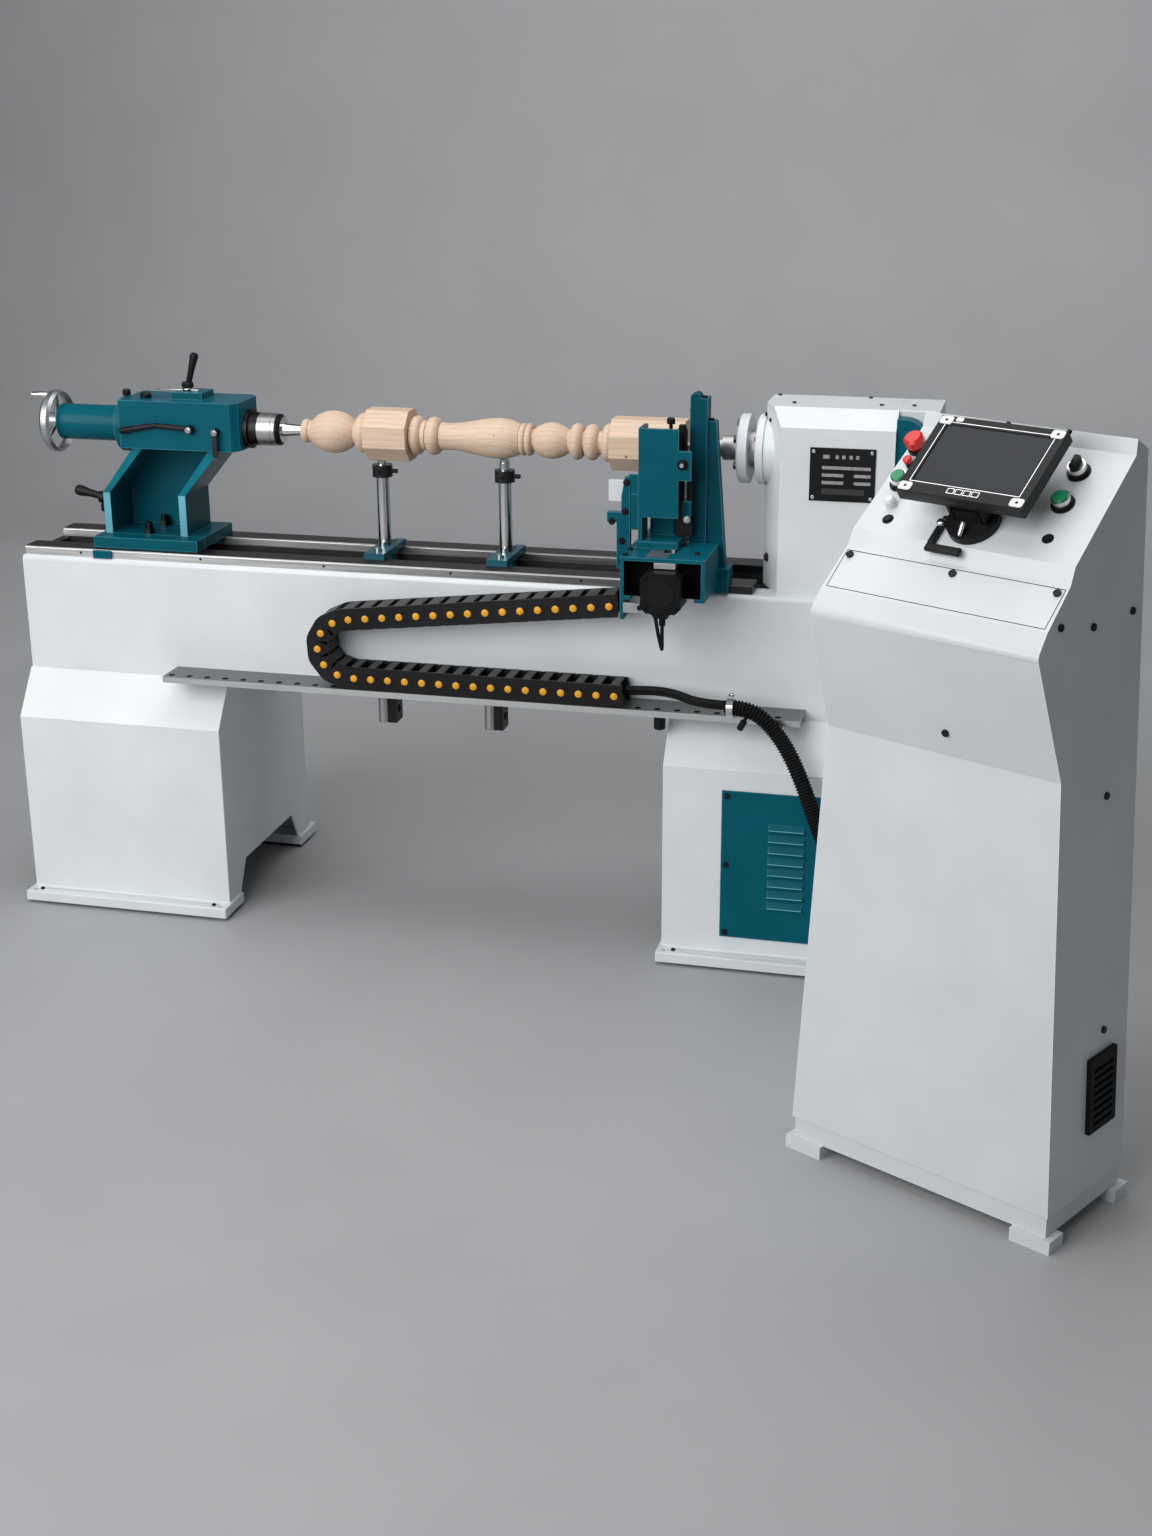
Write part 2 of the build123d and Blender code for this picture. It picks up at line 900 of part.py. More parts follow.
# Turned baluster
def workpiece():
    x, curves, prisms = work_left, [], []
    last = (work_left, 0)

    def run_to(point):
        if hypot(point[0] - last[0], point[1] - last[1]) > 0:
            curves.append(Line(last, point))
        return point

    for form, length, radius in work_forms:
        if form == "ball":
            last = run_to((x, work_neck))
            curves.append(ThreePointArc(last, (x + length * half_share, radius), (x + length, work_neck)))
            last = (x + length, work_neck)
        elif form == "bead":
            half = length * half_share
            last = run_to((x, radius - half))
            curves.append(ThreePointArc(last, (x + half, radius), (x + length, radius - half)))
            last = (x + length, radius - half)
        elif form == "vase":
            last = run_to((x, vase_start_radius))
            slim = (x + length * vase_slim_share, vase_slim_radius)
            wide = (x + length * vase_wide_share, radius)
            curves.append(Spline(last, slim, wide, (x + length, vase_end_radius)))
            last = (x + length, vase_end_radius)
        else:
            if form == "octagon":
                outline = Rot(0, 0, 180 / octagon_sides) * RegularPolygon(radius, octagon_sides)
                prisms.append(Pos(x, 0, axis_height) * extrude(Plane.YZ * outline, amount=length))
                radius = work_neck
            last = run_to((x, radius))
            last = run_to((x + length, radius))
        x += length
    last = run_to((x, 0))
    curves.append(Line(last, (work_left, 0)))
    core = Pos(0, 0, axis_height) * revolve(Plane.XZ * make_face(curves), Axis.X)
    solid = core + prisms
    solid -= turned_steps(
        work_left - cut_over, [(work_left + centre_shank_length, centre_tip_radius + run_gap)],
    )
    return solid - turned_steps(drive_tip - drive_point, [(drive_tip + cut_over, drive_tip_radius)])


# Tailstock
def tailstock_stand():
    low = rail_top + slide_gap
    floor = low + stand_base
    base = block(stand_left, stand_right, -stand_half_width, stand_half_width, low, floor)
    for y in (-tail_stud_spread, tail_stud_spread):
        base -= upright(low - cut_over, floor + cut_over, tail_stud_radius + run_gap, tail_clamp_x, y)

    def web(x):
        points = [(x, floor), (x + web_thick, floor), (x + web_thick, web_knee)]
        points += [
            (x + web_thick + web_lean + web_flare, tail_bottom), (x + web_lean, tail_bottom),
            (x, web_knee),
        ]
        return front_plate(points, web_front, web_rear)

    right = web_right + web_thick
    back = [(web_left, floor), (right, floor), (right, web_knee), (right + web_lean, tail_bottom)]
    back += [(web_left + web_lean, tail_bottom), (web_left, web_knee)]
    stand = base + web(web_left) + web(web_right) + front_plate(back, web_rear - back_thick, web_rear)
    pin = along_x(
        web_left - cut_over, web_left + pivot_pin_depth, pivot_pin_radius + run_gap, clamp_lever_y,
        clamp_lever_z,
    )
    return stand - pin


def tailstock_head():
    body = block(tail_left, tail_right, -tail_half_width, tail_half_width, tail_bottom, tail_top)
    corners = body.faces().sort_by(Axis.X)[-1].edges().filter_by(Axis.Z)
    body = chamfer(corners, tail_bevel)
    body += along_x(tail_flange_left, tail_left, tail_flange_radius)
    body += along_x(barrel_left, tail_flange_left, barrel_radius)
    body += along_x(tail_right, tail_right + end_ring_thick, end_ring_radius)
    body += block(tail_boss_left, tail_boss_right, -tail_boss_half, tail_boss_half, tail_top, tail_boss_top)
    body -= along_x(
        quill_left - quill_travel - run_gap, tail_right + end_ring_thick + cut_over,
        quill_radius + slide_gap,
    )
    body -= along_x(barrel_left + barrel_end, quill_left, barrel_bore)
    body -= along_x(barrel_left - cut_over, barrel_left + cut_over, screw_radius + bearing_gap)
    body -= upright(
        tail_boss_top - lock_pin_depth - run_gap, tail_boss_top + cut_over, lock_pin_radius + run_gap,
        lock_x, 0,
    )
    for x, z in ((side_pivot_x, side_pivot_z), (stop_pivot_x, stop_pivot_z)):
        body -= along_y(
            -tail_half_width - cut_over, pivot_pin_depth - tail_half_width + run_gap,
            pivot_pin_radius + run_gap, x, z,
        )
    return body


def tailstock_clamp():
    plate_top = bed_top - bed_flange - slide_gap
    plate_low = plate_top - tail_clamp_thick
    clamp = block(
        tail_clamp_x - tail_clamp_half, tail_clamp_x + tail_clamp_half, -tail_clamp_half_width,
        tail_clamp_half_width, plate_low, plate_top,
    )
    floor = rail_top + slide_gap + stand_base
    for y in (-tail_stud_spread, tail_stud_spread):
        clamp += upright(plate_low, floor + stud_proud, tail_stud_radius, tail_clamp_x, y)
        nut = extrude(RegularPolygon(nut_radius, hex_sides), amount=nut_height)
        clamp += Pos(tail_clamp_x, y, floor) * nut
    return clamp


def quill():
    body = along_x(quill_left, quill_right, quill_radius)
    body -= along_x(quill_left - cut_over, quill_bore_end, screw_radius + slide_gap)
    seat = centre_stub_length + run_gap
    return body - along_x(quill_right - seat, quill_right + cut_over, centre_stub_radius + bearing_gap)


def live_centre():
    nose = quill_right + run_gap
    end = nose + centre_nose_length
    outline = [
        (nose - centre_stub_length, 0), (nose - centre_stub_length, centre_stub_radius),
        (nose, centre_stub_radius),
    ]
    outline += [(nose, centre_nose_radius), (end - centre_nose_bevel, centre_nose_radius)]
    outline += [(end, centre_nose_radius - centre_nose_bevel), (end, centre_shank_radius)]
    outline += [(work_left, centre_tip_radius), (work_left + centre_shank_length - run_gap, 0)]
    return turned(outline)


def handwheel():
    inner = wheel_radius - wheel_rim
    half = wheel_rim_width * half_share
    bevel = wheel_rim * half_share
    rim = [(wheel_x - half, inner + bevel), (wheel_x, inner), (wheel_x + half, inner + bevel)]
    rim += [(wheel_x + half * half_share, wheel_radius), (wheel_x - half * half_share, wheel_radius)]
    wheel = turned(rim)
    wheel += along_x(wheel_x - wheel_hub_half, wheel_x + wheel_hub_half, wheel_hub_radius)
    for index in range(wheel_spokes):
        spoke = Cylinder(wheel_spoke_radius, inner + bevel, align=(Align.CENTER, Align.CENTER, Align.MIN))
        wheel += Pos(wheel_x, 0, axis_height) * Rot(360 * index / wheel_spokes, 0, 0) * spoke
    wheel += along_x(wheel_x, screw_right, screw_radius)
    return wheel + along_x(
        wheel_x - crank_pin_length, wheel_x, crank_pin_radius, 0, axis_height + crank_circle,
    )


def crank_handle():
    right = wheel_x - wheel_rim_width * half_share - run_gap
    left = right - crank_length
    bore = crank_pin_radius + bearing_gap
    outline = [
        (left, bore), (right, bore), (right, crank_waist),
        (left + crank_length * half_share, crank_radius),
    ]
    outline += [(left, crank_waist)]
    return Pos(0, 0, crank_circle) * turned(outline)


def quill_lock_lever():
    lever = upright(tail_boss_top - lock_pin_depth, tail_boss_top + run_gap, lock_pin_radius, lock_x, 0)
    top = tail_boss_top + run_gap + lock_boss_height
    lever += upright(tail_boss_top + run_gap, top, lock_boss_radius, lock_x, 0)
    lean = radians(lock_tilt)
    start = (lock_x, 0, top - lock_boss_height * half_share)
    return lever + handle(start, (sin(lean), 0, cos(lean)), lock_handle_length, handle_thin, handle_thick)


def pivot_hub(x, z, radius):
    face = -tail_half_width - run_gap
    hub = along_y(face - side_hub_length, face, radius, x, z)
    return hub + along_y(face, pivot_pin_depth - tail_half_width, pivot_pin_radius, x, z)


def side_lever():
    y = -tail_half_width - run_gap - side_hub_length * half_share
    points = [
        (side_pivot_x, y, side_pivot_z),
        (side_pivot_x - side_length * half_share, y, side_pivot_z + side_rise),
    ]
    points += [(side_pivot_x - side_length, y, side_pivot_z - side_drop)]
    path = Spline(*points)
    rod = sweep(Plane(origin=path @ 0, z_dir=path % 0) * Circle(side_rod), path)
    return pivot_hub(side_pivot_x, side_pivot_z, side_hub) + rod


def stop_lever():
    y0 = -tail_half_width - run_gap - side_hub_length
    half = stop_width * half_share
    bar = block(
        stop_pivot_x - half, stop_pivot_x + half, y0, y0 + half, stop_pivot_z - stop_length,
        stop_pivot_z,
    )
    return pivot_hub(stop_pivot_x, stop_pivot_z, stop_hub) + bar


def clamp_lever():
    face = web_left - run_gap
    lever = along_x(face - clamp_hub_length, face, clamp_hub, clamp_lever_y, clamp_lever_z)
    lever += along_x(
        face, web_left + pivot_pin_depth - run_gap, pivot_pin_radius, clamp_lever_y, clamp_lever_z,
    )
    lean = radians(clamp_handle_tilt)
    start = (face - clamp_hub_length * half_share, clamp_lever_y, clamp_lever_z)
    direction = (-sin(lean), 0, cos(lean))
    return lever + handle(start, direction, clamp_handle_length, clamp_handle_thin, clamp_handle_thick)


# Work supports
def support_stand(x):
    low = rail_top + slide_gap
    top = low + support_base
    stand = block(x - support_half_x, x + support_half_x, -support_half_y, support_half_y, low, top)
    stand += upright(top, post_top, post_radius, x, 0)
    stand += upright(collar_bottom, collar_top, collar_radius, x, 0)
    stand -= upright(top, collar_top + cut_over, rod_radius + slide_gap, x, 0)
    clamp_top = bed_top - bed_flange - slide_gap
    clamp_low = clamp_top - support_clamp_thick
    stand += block(
        x - support_clamp_half_x, x + support_clamp_half_x, -support_clamp_half_y, support_clamp_half_y,
        clamp_low, clamp_top,
    )
    for y in (-support_bolt_y, support_bolt_y):
        stand += upright(clamp_low, top, support_bolt_radius, x, y)
        stand += upright(top, top + support_bolt_radius, support_bolt_head, x, y)
    return stand


def support_rod(x, work_radius):
    tip = axis_height - work_radius - rod_touch
    rod = upright(tip - rod_length, tip - rod_tip, rod_radius, x, 0)
    return rod + upright(tip - rod_tip, tip, rod_tip_radius, x, 0)


# Carriage
def saddle():
    low = rail_top + slide_gap
    plate_top = low + saddle_plate
    body = block(saddle_left, saddle_right, saddle_front, saddle_rear, low, plate_top)
    body += block(saddle_left, saddle_right, saddle_front, rail_front - run_gap, low - saddle_lip_drop, low)
    body += block(saddle_left, riser_left_end, saddle_front, saddle_rear, plate_top, box_top - box_wall)
    body += block(riser_right_start, saddle_right, saddle_front, saddle_rear, plate_top, column_seat)
    return body


def carriage_box():
    deck_low = box_top - box_wall
    deck = [(box_left, box_front), (box_right, box_front), (box_right, column_front - box_wall)]
    deck += [(slide_right, column_front - box_wall), (slide_right, saddle_rear), (box_left, saddle_rear)]
    body = flat_plate(deck, deck_low, box_top)
    for x in (box_left, box_right - box_wall):
        body += block(x, x + box_wall, box_front, saddle_front, box_bottom, deck_low)
    for x0, x1 in ((box_left, box_left + box_flange), (box_right - box_flange, box_right)):
        body += block(x0, x1, box_front, saddle_front, box_bottom, box_bottom + box_wall)
    body += block(box_left, box_right, motor_plate_y, motor_plate_y + motor_plate, box_bottom, deck_low)
    body -= along_y(
        motor_plate_y - cut_over, motor_plate_y + cut_over, stepper_collar_radius, stepper_x, stepper_z,
    )
    y0 = chain_y - chain_width * half_share
    y1 = chain_y + chain_width * half_share
    body += block(chain_plate_x, chain_plate_x + chain_plate, y0, y1, chain_plate_bottom, box_bottom)
    body += block(chain_plate_x, box_left + box_flange, y0, y1, box_bottom - chain_plate, box_bottom)
    bracket = [(x, box_top + rise) for x, rise in bracket_steps]
    body += front_plate(bracket, bracket_front, bracket_rear)
    half = nut_half + slot_gap
    slot_low = nut_front - slide_travel - slot_gap
    return body - block(
        stepper_x - half, stepper_x + half, slot_low, nut_rear + slot_gap, deck_low - cut_over,
        box_top + cut_over,
    )


def stepper_motor():
    half = stepper_size * half_share
    body = block(
        stepper_x - half, stepper_x + half, stepper_front, motor_plate_y, stepper_z - half,
        stepper_z + half,
    )
    body = chamfer(body.edges().filter_by(Axis.Y), stepper_bevel)
    body += along_y(
        motor_plate_y, motor_plate_y + motor_plate, stepper_collar_radius - slide_gap, stepper_x,
        stepper_z,
    )
    low = stepper_z - half - gland_block_drop
    x0 = stepper_x - gland_block_x * half_share
    y0 = stepper_front + gland_setback - gland_block_y * half_share
    body += block(x0, x0 + gland_block_x, y0, y0 + gland_block_y, low, stepper_z - half)
    body += upright(low - gland_length, low, gland_radius, stepper_x, stepper_front + gland_setback)
    bore = screw_thread_radius + run_gap
    return body - along_y(
        screw_front - run_gap - motor_plate, motor_plate_y + motor_plate + cut_over, bore, stepper_x,
        stepper_z,
    )


def tool_column():
    post = block(column_left, column_right, column_front, column_rear, column_seat, column_top)
    gusset = [(column_right, column_seat), (column_right + gusset_base_width, column_seat)]
    gusset += [(column_right + gusset_top_width, gusset_top), (column_right, gusset_top)]
    post += front_plate(gusset, gusset_front, gusset_rear)
    across = column_left + column_lug_radius
    lug = along_y(column_front, column_front + column_lug_length, column_lug_radius, across, column_top)
    return post + lug


def cross_screw():
    return along_y(screw_front - motor_plate, screw_rear, screw_thread_radius, stepper_x, stepper_z)


def cross_slide():
    low = box_top + slide_gap
    top = low + slide_thick
    plate = block(slide_left, slide_right, slide_front, slide_rear, low, top)
    plate = chamfer(plate.faces().sort_by(Axis.Z)[-1].edges(), slide_edge)
    lowest = stepper_z - nut_half
    plate += block(stepper_x - nut_half, stepper_x + nut_half, nut_front, nut_rear, lowest, low)
    return plate - along_y(
        nut_front - cut_over, nut_rear + cut_over, screw_thread_radius + slide_gap, stepper_x,
        stepper_z,
    )


def tool_post():
    low = box_top + slide_gap + slide_thick
    post = block(post_left, post_right, post_front, post_rear, low, post_height)
    post = chamfer(post.edges().filter_by(Axis.Z), post_bevel)
    half = tool_size * half_share
    return post - block(
        tool_x - half, tool_x + half, post_front - cut_over, post_rear + cut_over, axis_height - half,
        axis_height + half,
    )


def turning_tool():
    half = tool_size * half_share
    plan = [(tool_x - half, tool_front), (tool_x + half, tool_front), (tool_x + half, tool_tip - tool_bevel)]
    plan += [(tool_x, tool_tip), (tool_x - half, tool_tip - tool_bevel)]
    return flat_plate(plan, axis_height - half, axis_height + half)


def guard_cover():
    front = [
        (cover_left, cover_bottom), (cover_edge, cover_bottom), (cover_edge, cover_tab_low),
        (cover_tab_right, cover_tab_low),
    ]
    front += [
        (cover_tab_right, cover_tab_high), (cover_edge, cover_tab_high), (cover_edge, cover_height),
        (cover_left, cover_height),
    ]
    cover = front_plate(front, cover_y, cover_y + cover_plate)
    low = box_top + slide_gap + slide_thick
    return cover + block(cover_left, cover_left + cover_plate, cover_y, cover_flange_rear, low, cover_height)


# Drag chain
def chain_link():
    half = (chain_pitch - chain_gap) * half_share
    tall = chain_height * half_share
    outline = [
        (-half, -tall), (half, -tall), (half, 0), (half - chain_taper, tall),
        (chain_taper - half, tall), (-half, 0),
    ]
    wide = chain_width * half_share
    link = front_plate(outline, -wide, wide)
    link -= block(
        -chain_pitch, chain_pitch, chain_wall - wide, wide - chain_wall, chain_wall - tall,
        tall - chain_wall,
    )
    pin = extrude(Plane.XZ * RegularPolygon(chain_pin_radius, chain_pin_sides), amount=chain_pin_proud)
    return link + Pos(0, -wide, 0) * pin


def chain_joints():
    low = tray_top + run_gap + chain_height * half_share
    points = [(chain_fixed_x - index * chain_pitch, low) for index in range(chain_run_links + 1)]
    step = 2 * asin(chain_pitch * half_share / chain_bend_radius)
    centre_x, centre_z = points[-1][0], low + chain_bend_radius
    for index in range(1, chain_bend_links + 1):
        turn = index * step
        points.append((centre_x - chain_bend_radius * sin(turn), centre_z - chain_bend_radius * cos(turn)))
    rise = pi - chain_bend_links * step
    x, z = points[-1]
    for index in range(1, chain_run_links + 1):
        points.append((x + index * chain_pitch * cos(rise), z + index * chain_pitch * sin(rise)))
    return points


def chain_part(first, count):
    joints = chain_joints()
    links = []
    for index in range(first, first + count):
        (x0, z0), (x1, z1) = joints[index], joints[index + 1]
        spin = 180 - degrees(atan2(z1 - z0, x1 - x0))
        middle = Pos((x0 + x1) * half_share, chain_y, (z0 + z1) * half_share)
        links.append(middle * Rot(0, spin, 0) * chain_link())
    return group(links)


# Leads and hose
def tube(name, route, radius):
    points = [Vector(*point) for point in route]
    radii = []
    for before, here, after in zip(points, points[1:], points[2:]):
        turn = radians((here - before).get_angle(after - here))
        shorter = min((here - before).length, (after - here).length)
        radii.append(route_share * shorter / tan(turn * half_share))
    path = FilletPolyline(*points, radius=min(radii))
    solid = sweep(Plane(origin=path @ 0, z_dir=path % 0) * Circle(radius), path)
    print(
        name, "length", round(path.length), "bend radii", [round(value) for value in radii], "used",
        round(min(radii)),
    )
    print(name, "volume over section times length", round(solid.volume / (pi * radius**2 * path.length), 4))
    return solid


def motor_lead():
    x0 = stepper_x
    y0 = stepper_front + gland_setback
    z0 = stepper_z - stepper_size * half_share - gland_block_drop - gland_length - run_gap
    route = [(x0 + x, y0 + y, z0 + z) for x, y, z in motor_lead_route]
    end = chain_plate_x + chain_plate + run_gap
    return tube("motor_lead", route + [(end, *route[-1][1:])], motor_lead_radius)


def cabinet_point(across, deep, height):
    turn = radians(cab_turn)
    return (
        cab_x + across * cos(turn) - deep * sin(turn), cab_y + across * sin(turn) + deep * cos(turn),
        height,
    )


def hose():
    end = cabinet_point(hose_gland_across, cab_depth + hose_gland_length, hose_height)
    return tube("hose", hose_route + [end], hose_radius)


def hose_clip():
    x, y, z = hose_route[0]
    half = clip_thick * half_share
    band = along_x(clip_x - half, clip_x + half, clip_radius, y, z)
    band += block(clip_x - half, clip_x + half, y, y + clip_foot, tray_top, z)
    return band - along_x(x, clip_x + cut_over, hose_radius, y, z)


# Control cabinet
def in_place(shape):
    return Pos(cab_x, cab_y, 0) * Rot(0, 0, cab_turn) * shape


def sloped(y0, z0, y1, z1):
    slope = atan2(z1 - z0, y1 - y0)
    return Plane(origin=(0, y0, z0), x_dir=(1, 0, 0), z_dir=(0, -sin(slope), cos(slope)))


console = sloped(step_front, step_height, console_rear, console_height)
keyboard = sloped(nose_top_front, nose_top_height, step_low_front, step_low_height)
pad = (Align.CENTER, Align.CENTER, Align.MIN)
stop_button = (stop_across, stop_up)
green_left_at = (green_left_across, green_left_up)
green_right_at = (green_right_across, green_right_up)
selector_at = (selector_across, selector_up)
control_spots = [stop_button, green_left_at, green_right_at, selector_at]


def cabinet_half(height):
    share = (height - plinth_top) / (ledge_height - plinth_top)
    return (cab_base_width + share * (cab_top_width - cab_base_width)) * half_share


def cabinet_side():
    lean = atan2((cab_base_width - cab_top_width) * half_share, ledge_height - plinth_top)
    edge = cab_middle + cabinet_half(0)
    return Plane(origin=(edge, 0, 0), x_dir=(0, 1, 0), z_dir=(cos(lean), 0, sin(lean)))


def cabinet_shell():
    outline = [
        (skirt_front, plinth_top), (kink_front, kink_height), (nose_front, nose_height),
        (nose_top_front, nose_top_height),
    ]
    outline += [(step_low_front, step_low_height), (step_front, step_height), (console_rear, console_height)]
    outline += [(ledge_rear, ledge_height), (cab_depth, back_height), (cab_depth, plinth_top)]
    base_half = cabinet_half(plinth_top)
    shell = side_plate(outline, cab_middle - base_half, cab_middle + base_half)
    across = shell.edges().filter_by(Axis.X)
    noses = [edge for edge in across if edge.center().Y < nose_top_front + nose_fold]
    shell = fillet(noses, nose_fold)
    low = plinth_top - cut_over
    high = ledge_height + cut_over
    front = [(cab_middle - cabinet_half(low), low), (cab_middle + cabinet_half(low), low)]
    front += [(cab_middle + cabinet_half(high), high), (cab_middle - cabinet_half(high), high)]
    shell = shell & front_plate(front, nose_front - cut_over, cab_depth + cut_over)
    plinth_half = base_half - plinth_inset
    shell += block(
        cab_middle - plinth_half, cab_middle + plinth_half, 0, cab_depth - plinth_inset, plinth_bottom,
        plinth_top,
    )
    for across, up in control_spots:
        hole = Cylinder(stem_radius + run_gap, 2 * (stem_depth + run_gap))
        shell -= console * (Pos(across, up, 0) * hole)
    recess = block(keyboard_left, keyboard_right, keyboard_low, keyboard_high, -keyboard_thick, cut_over)
    return shell - keyboard * recess


def hose_gland():
    end = cab_depth + hose_gland_length - run_gap
    return along_y(cab_depth, end, hose_gland_radius, hose_gland_across, hose_height)


def cabinet_feet():
    feet = []
    reach = cab_base_width * half_share + foot_out
    for x0 in (cab_middle - reach, cab_middle + reach - foot_long):
        for y0 in (-foot_out, cab_depth + foot_out - foot_wide):
            feet.append(block(x0, x0 + foot_long, y0, y0 + foot_wide, 0, plinth_bottom))
    return group(feet)


def keyboard_panel():
    sheet = block(
        keyboard_left + run_gap, keyboard_right - run_gap, keyboard_low + run_gap,
        keyboard_high - run_gap, -keyboard_thick, 0,
    )
    return keyboard * sheet


def vent_grille():
    frame = block(
        vent_front, vent_front + vent_width, vent_bottom, vent_bottom + vent_height, 0, vent_thick,
    )
    pitch = (vent_height - 2 * vent_rim) / vent_slats
    for index in range(vent_slats):
        low = vent_bottom + vent_rim + index * pitch
        frame -= block(
            vent_front + vent_rim, vent_front + vent_width - vent_rim, low, low + pitch * vent_slat_share,
            vent_thick * half_share, vent_thick + cut_over,
        )
    return cabinet_side() * frame


def case_screws():
    head = Cylinder(screw_head, screw_head_height, align=pad)
    heads = []
    inset = panel_rim * half_share
    for x in (panel_left + inset, panel_left + panel_width - inset):
        for share in (0, half_share, 1):
            z = panel_bottom + inset + share * (panel_height - 2 * inset)
            heads.append(Pos(x, ped_front - panel_thick, z) * Rot(90, 0, 0) * head)
    lower_face = sloped(kink_front, kink_height, nose_front, nose_height)
    faces = [(cabinet_side(), side_screw_spots), (keyboard, keyboard_screw_spots)]
    faces += [(console, console_screw_spots), (lower_face, nose_screw_spots)]
    for face, spots in faces:
        heads += [in_place(face * (Pos(across, up, 0) * head)) for across, up in spots]
    return group(heads)


def button_bezels():
    rings = []
    for across, up in control_spots:
        bezel = Cylinder(bezel_radius, bezel_height, align=pad) - Cylinder(
            cap_radius + run_gap, 2 * bezel_height,
        )
        rings.append(console * (Pos(across, up, 0) * bezel))
    rings.append(console * (Pos(lamp_across, lamp_up, 0) * Cylinder(lamp_radius, lamp_height, align=pad)))
    return group(rings)


def stem():
    return Pos(0, 0, -stem_depth + mushroom_travel) * Cylinder(stem_radius, stem_depth + run_gap, align=pad)


def push_button(place):
    cap = Cylinder(cap_radius, cap_height - press_travel, align=pad)
    cap = Pos(0, 0, press_travel + run_gap) * chamfer(cap.edges().group_by(Axis.Z)[-1], cap_edge)
    return console * (Pos(place[0], place[1], 0) * (cap + stem()))


def emergency_stop():
    low = bezel_height + mushroom_travel + run_gap
    neck = Pos(0, 0, mushroom_travel + run_gap) * Cylinder(cap_radius, low - mushroom_travel, align=pad)
    crown = Cylinder(mushroom_radius, mushroom_height - low, align=pad)
    crown = Pos(0, 0, low) * chamfer(crown.edges().group_by(Axis.Z)[-1], mushroom_edge)
    return console * (Pos(stop_button[0], stop_button[1], 0) * (neck + crown + stem()))


def selector_knob():
    knob = Pos(0, 0, run_gap) * Cylinder(cap_radius, bezel_height, align=pad)
    knob += Pos(0, 0, bezel_height + run_gap) * Cylinder(knob_radius, knob_grip, align=pad)
    grip = block(
        -knob_grip, knob_grip, -knob_radius + cap_edge, knob_radius - cap_edge,
        bezel_height + knob_grip, knob_height,
    )
    return console * (Pos(selector_at[0], selector_at[1], 0) * (knob + grip + stem()))


def monitor_base():
    base = Pos(0, 0, run_gap) * Cylinder(base_radius, base_thick, align=pad)
    top = hinge_out + hinge_radius + neck_wall
    neck = block(-neck_half, neck_half, -neck_depth, neck_depth, base_thick, top)
    neck -= Pos(0, 0, hinge_out) * Rot(0, 90, 0) * Cylinder(
        hinge_radius + bearing_gap, 2 * (neck_half + cut_over),
    )
    side = -handle_side
    bar = block(
        side - handle_radius, side + handle_bar, -handle_drop - handle_radius,
        handle_radius - handle_drop, 0, 2 * handle_radius,
    )
    stalk = block(side - handle_radius, side + handle_radius, -handle_drop, 0, 0, 2 * handle_radius)
    root = block(side - handle_radius, 0, -handle_radius, handle_radius, 0, handle_radius)
    base += neck
    base += Pos(0, 0, run_gap) * (bar + stalk + root)
    return console * (Pos(monitor_x, pivot_up, 0) * base)


def monitor_case():
    half = monitor_width * half_share
    case = block(-half, half, monitor_low - pivot_up, monitor_high - pivot_up, monitor_back, monitor_front)
    case = chamfer(case.faces().sort_by(Axis.Z)[0].edges(), monitor_bevel)
    case -= block(
        screen_side - half, half - screen_side, monitor_low - pivot_up + screen_low,
        monitor_high - pivot_up - screen_high, monitor_front - screen_depth, monitor_front + cut_over,
    )
    low = hinge_out - hinge_radius - ear_thick
    deep = neck_depth
    for side in (-1, 1):
        x0 = side * ear_half - ear_thick * half_share
        ear = block(x0, x0 + ear_thick, -deep, deep, low, monitor_back + monitor_bevel)
        case += ear
    case += Pos(0, 0, hinge_out) * Rot(0, 90, 0) * Cylinder(hinge_radius, 2 * ear_half)
    return console * (Pos(monitor_x, pivot_up, 0) * case)


keep("left_pedestal", mirror(pedestal(), about=Plane.YZ))
keep("right_pedestal", right_pedestal())
keep("floor_pads", floor_pads())
keep("bed", bed())
keep("bed_rails", bed_rails())
keep("louvre_panel", louvre_panel())
keep("chain_tray", chain_tray() + hose_clip())
keep("headstock_housing", headstock_housing())
keep("bearing_flange", bearing_flange())
keep("belt_guard", belt_guard())
keep("pulley_cover", pulley_cover())
keep("spindle_bearings", spindle_bearings())
keep("main_motor", main_motor())
keep("drive_belt", drive_belt())
keep("spindle", spindle())
keep("spindle_flange", spindle_flange() + spindle_flange_bolts())
keep("spindle_pulley", spindle_pulley())
keep("motor_pulley", motor_pulley())
keep("workpiece_baluster", workpiece())
keep("tailstock_stand", tailstock_stand())
keep("tailstock_head", tailstock_head())
keep("tailstock_clamp", tailstock_clamp())
keep("quill", quill())
keep("live_centre", live_centre())
keep("handwheel", handwheel())
keep("crank_handle", crank_handle())
keep("quill_lock_lever", quill_lock_lever())
keep("side_lever", side_lever())
keep("stop_lever", stop_lever())
keep("clamp_lever", clamp_lever())
keep("left_support_stand", support_stand(support_left_x))
keep("left_support_rod", support_rod(support_left_x, octagon_radius))
keep("right_support_stand", support_stand(support_right_x))
keep("right_support_rod", support_rod(support_right_x, vase_radius))
keep("saddle", saddle())
keep("carriage_box", carriage_box())
keep("stepper_motor", stepper_motor())
keep("tool_column", tool_column())
keep("cross_screw", cross_screw())
keep("cross_slide", cross_slide() + tool_post())
keep("turning_tool", turning_tool())
keep("guard_cover", guard_cover())
keep("chain_lower_run", chain_part(0, chain_run_links))
keep("chain_bend_lower", chain_part(chain_run_links, chain_bend_low_links))
keep(
    "chain_bend_upper",
    chain_part(chain_run_links + chain_bend_low_links, chain_bend_links - chain_bend_low_links),
)
keep("chain_upper_run", chain_part(chain_run_links + chain_bend_links, chain_run_links))
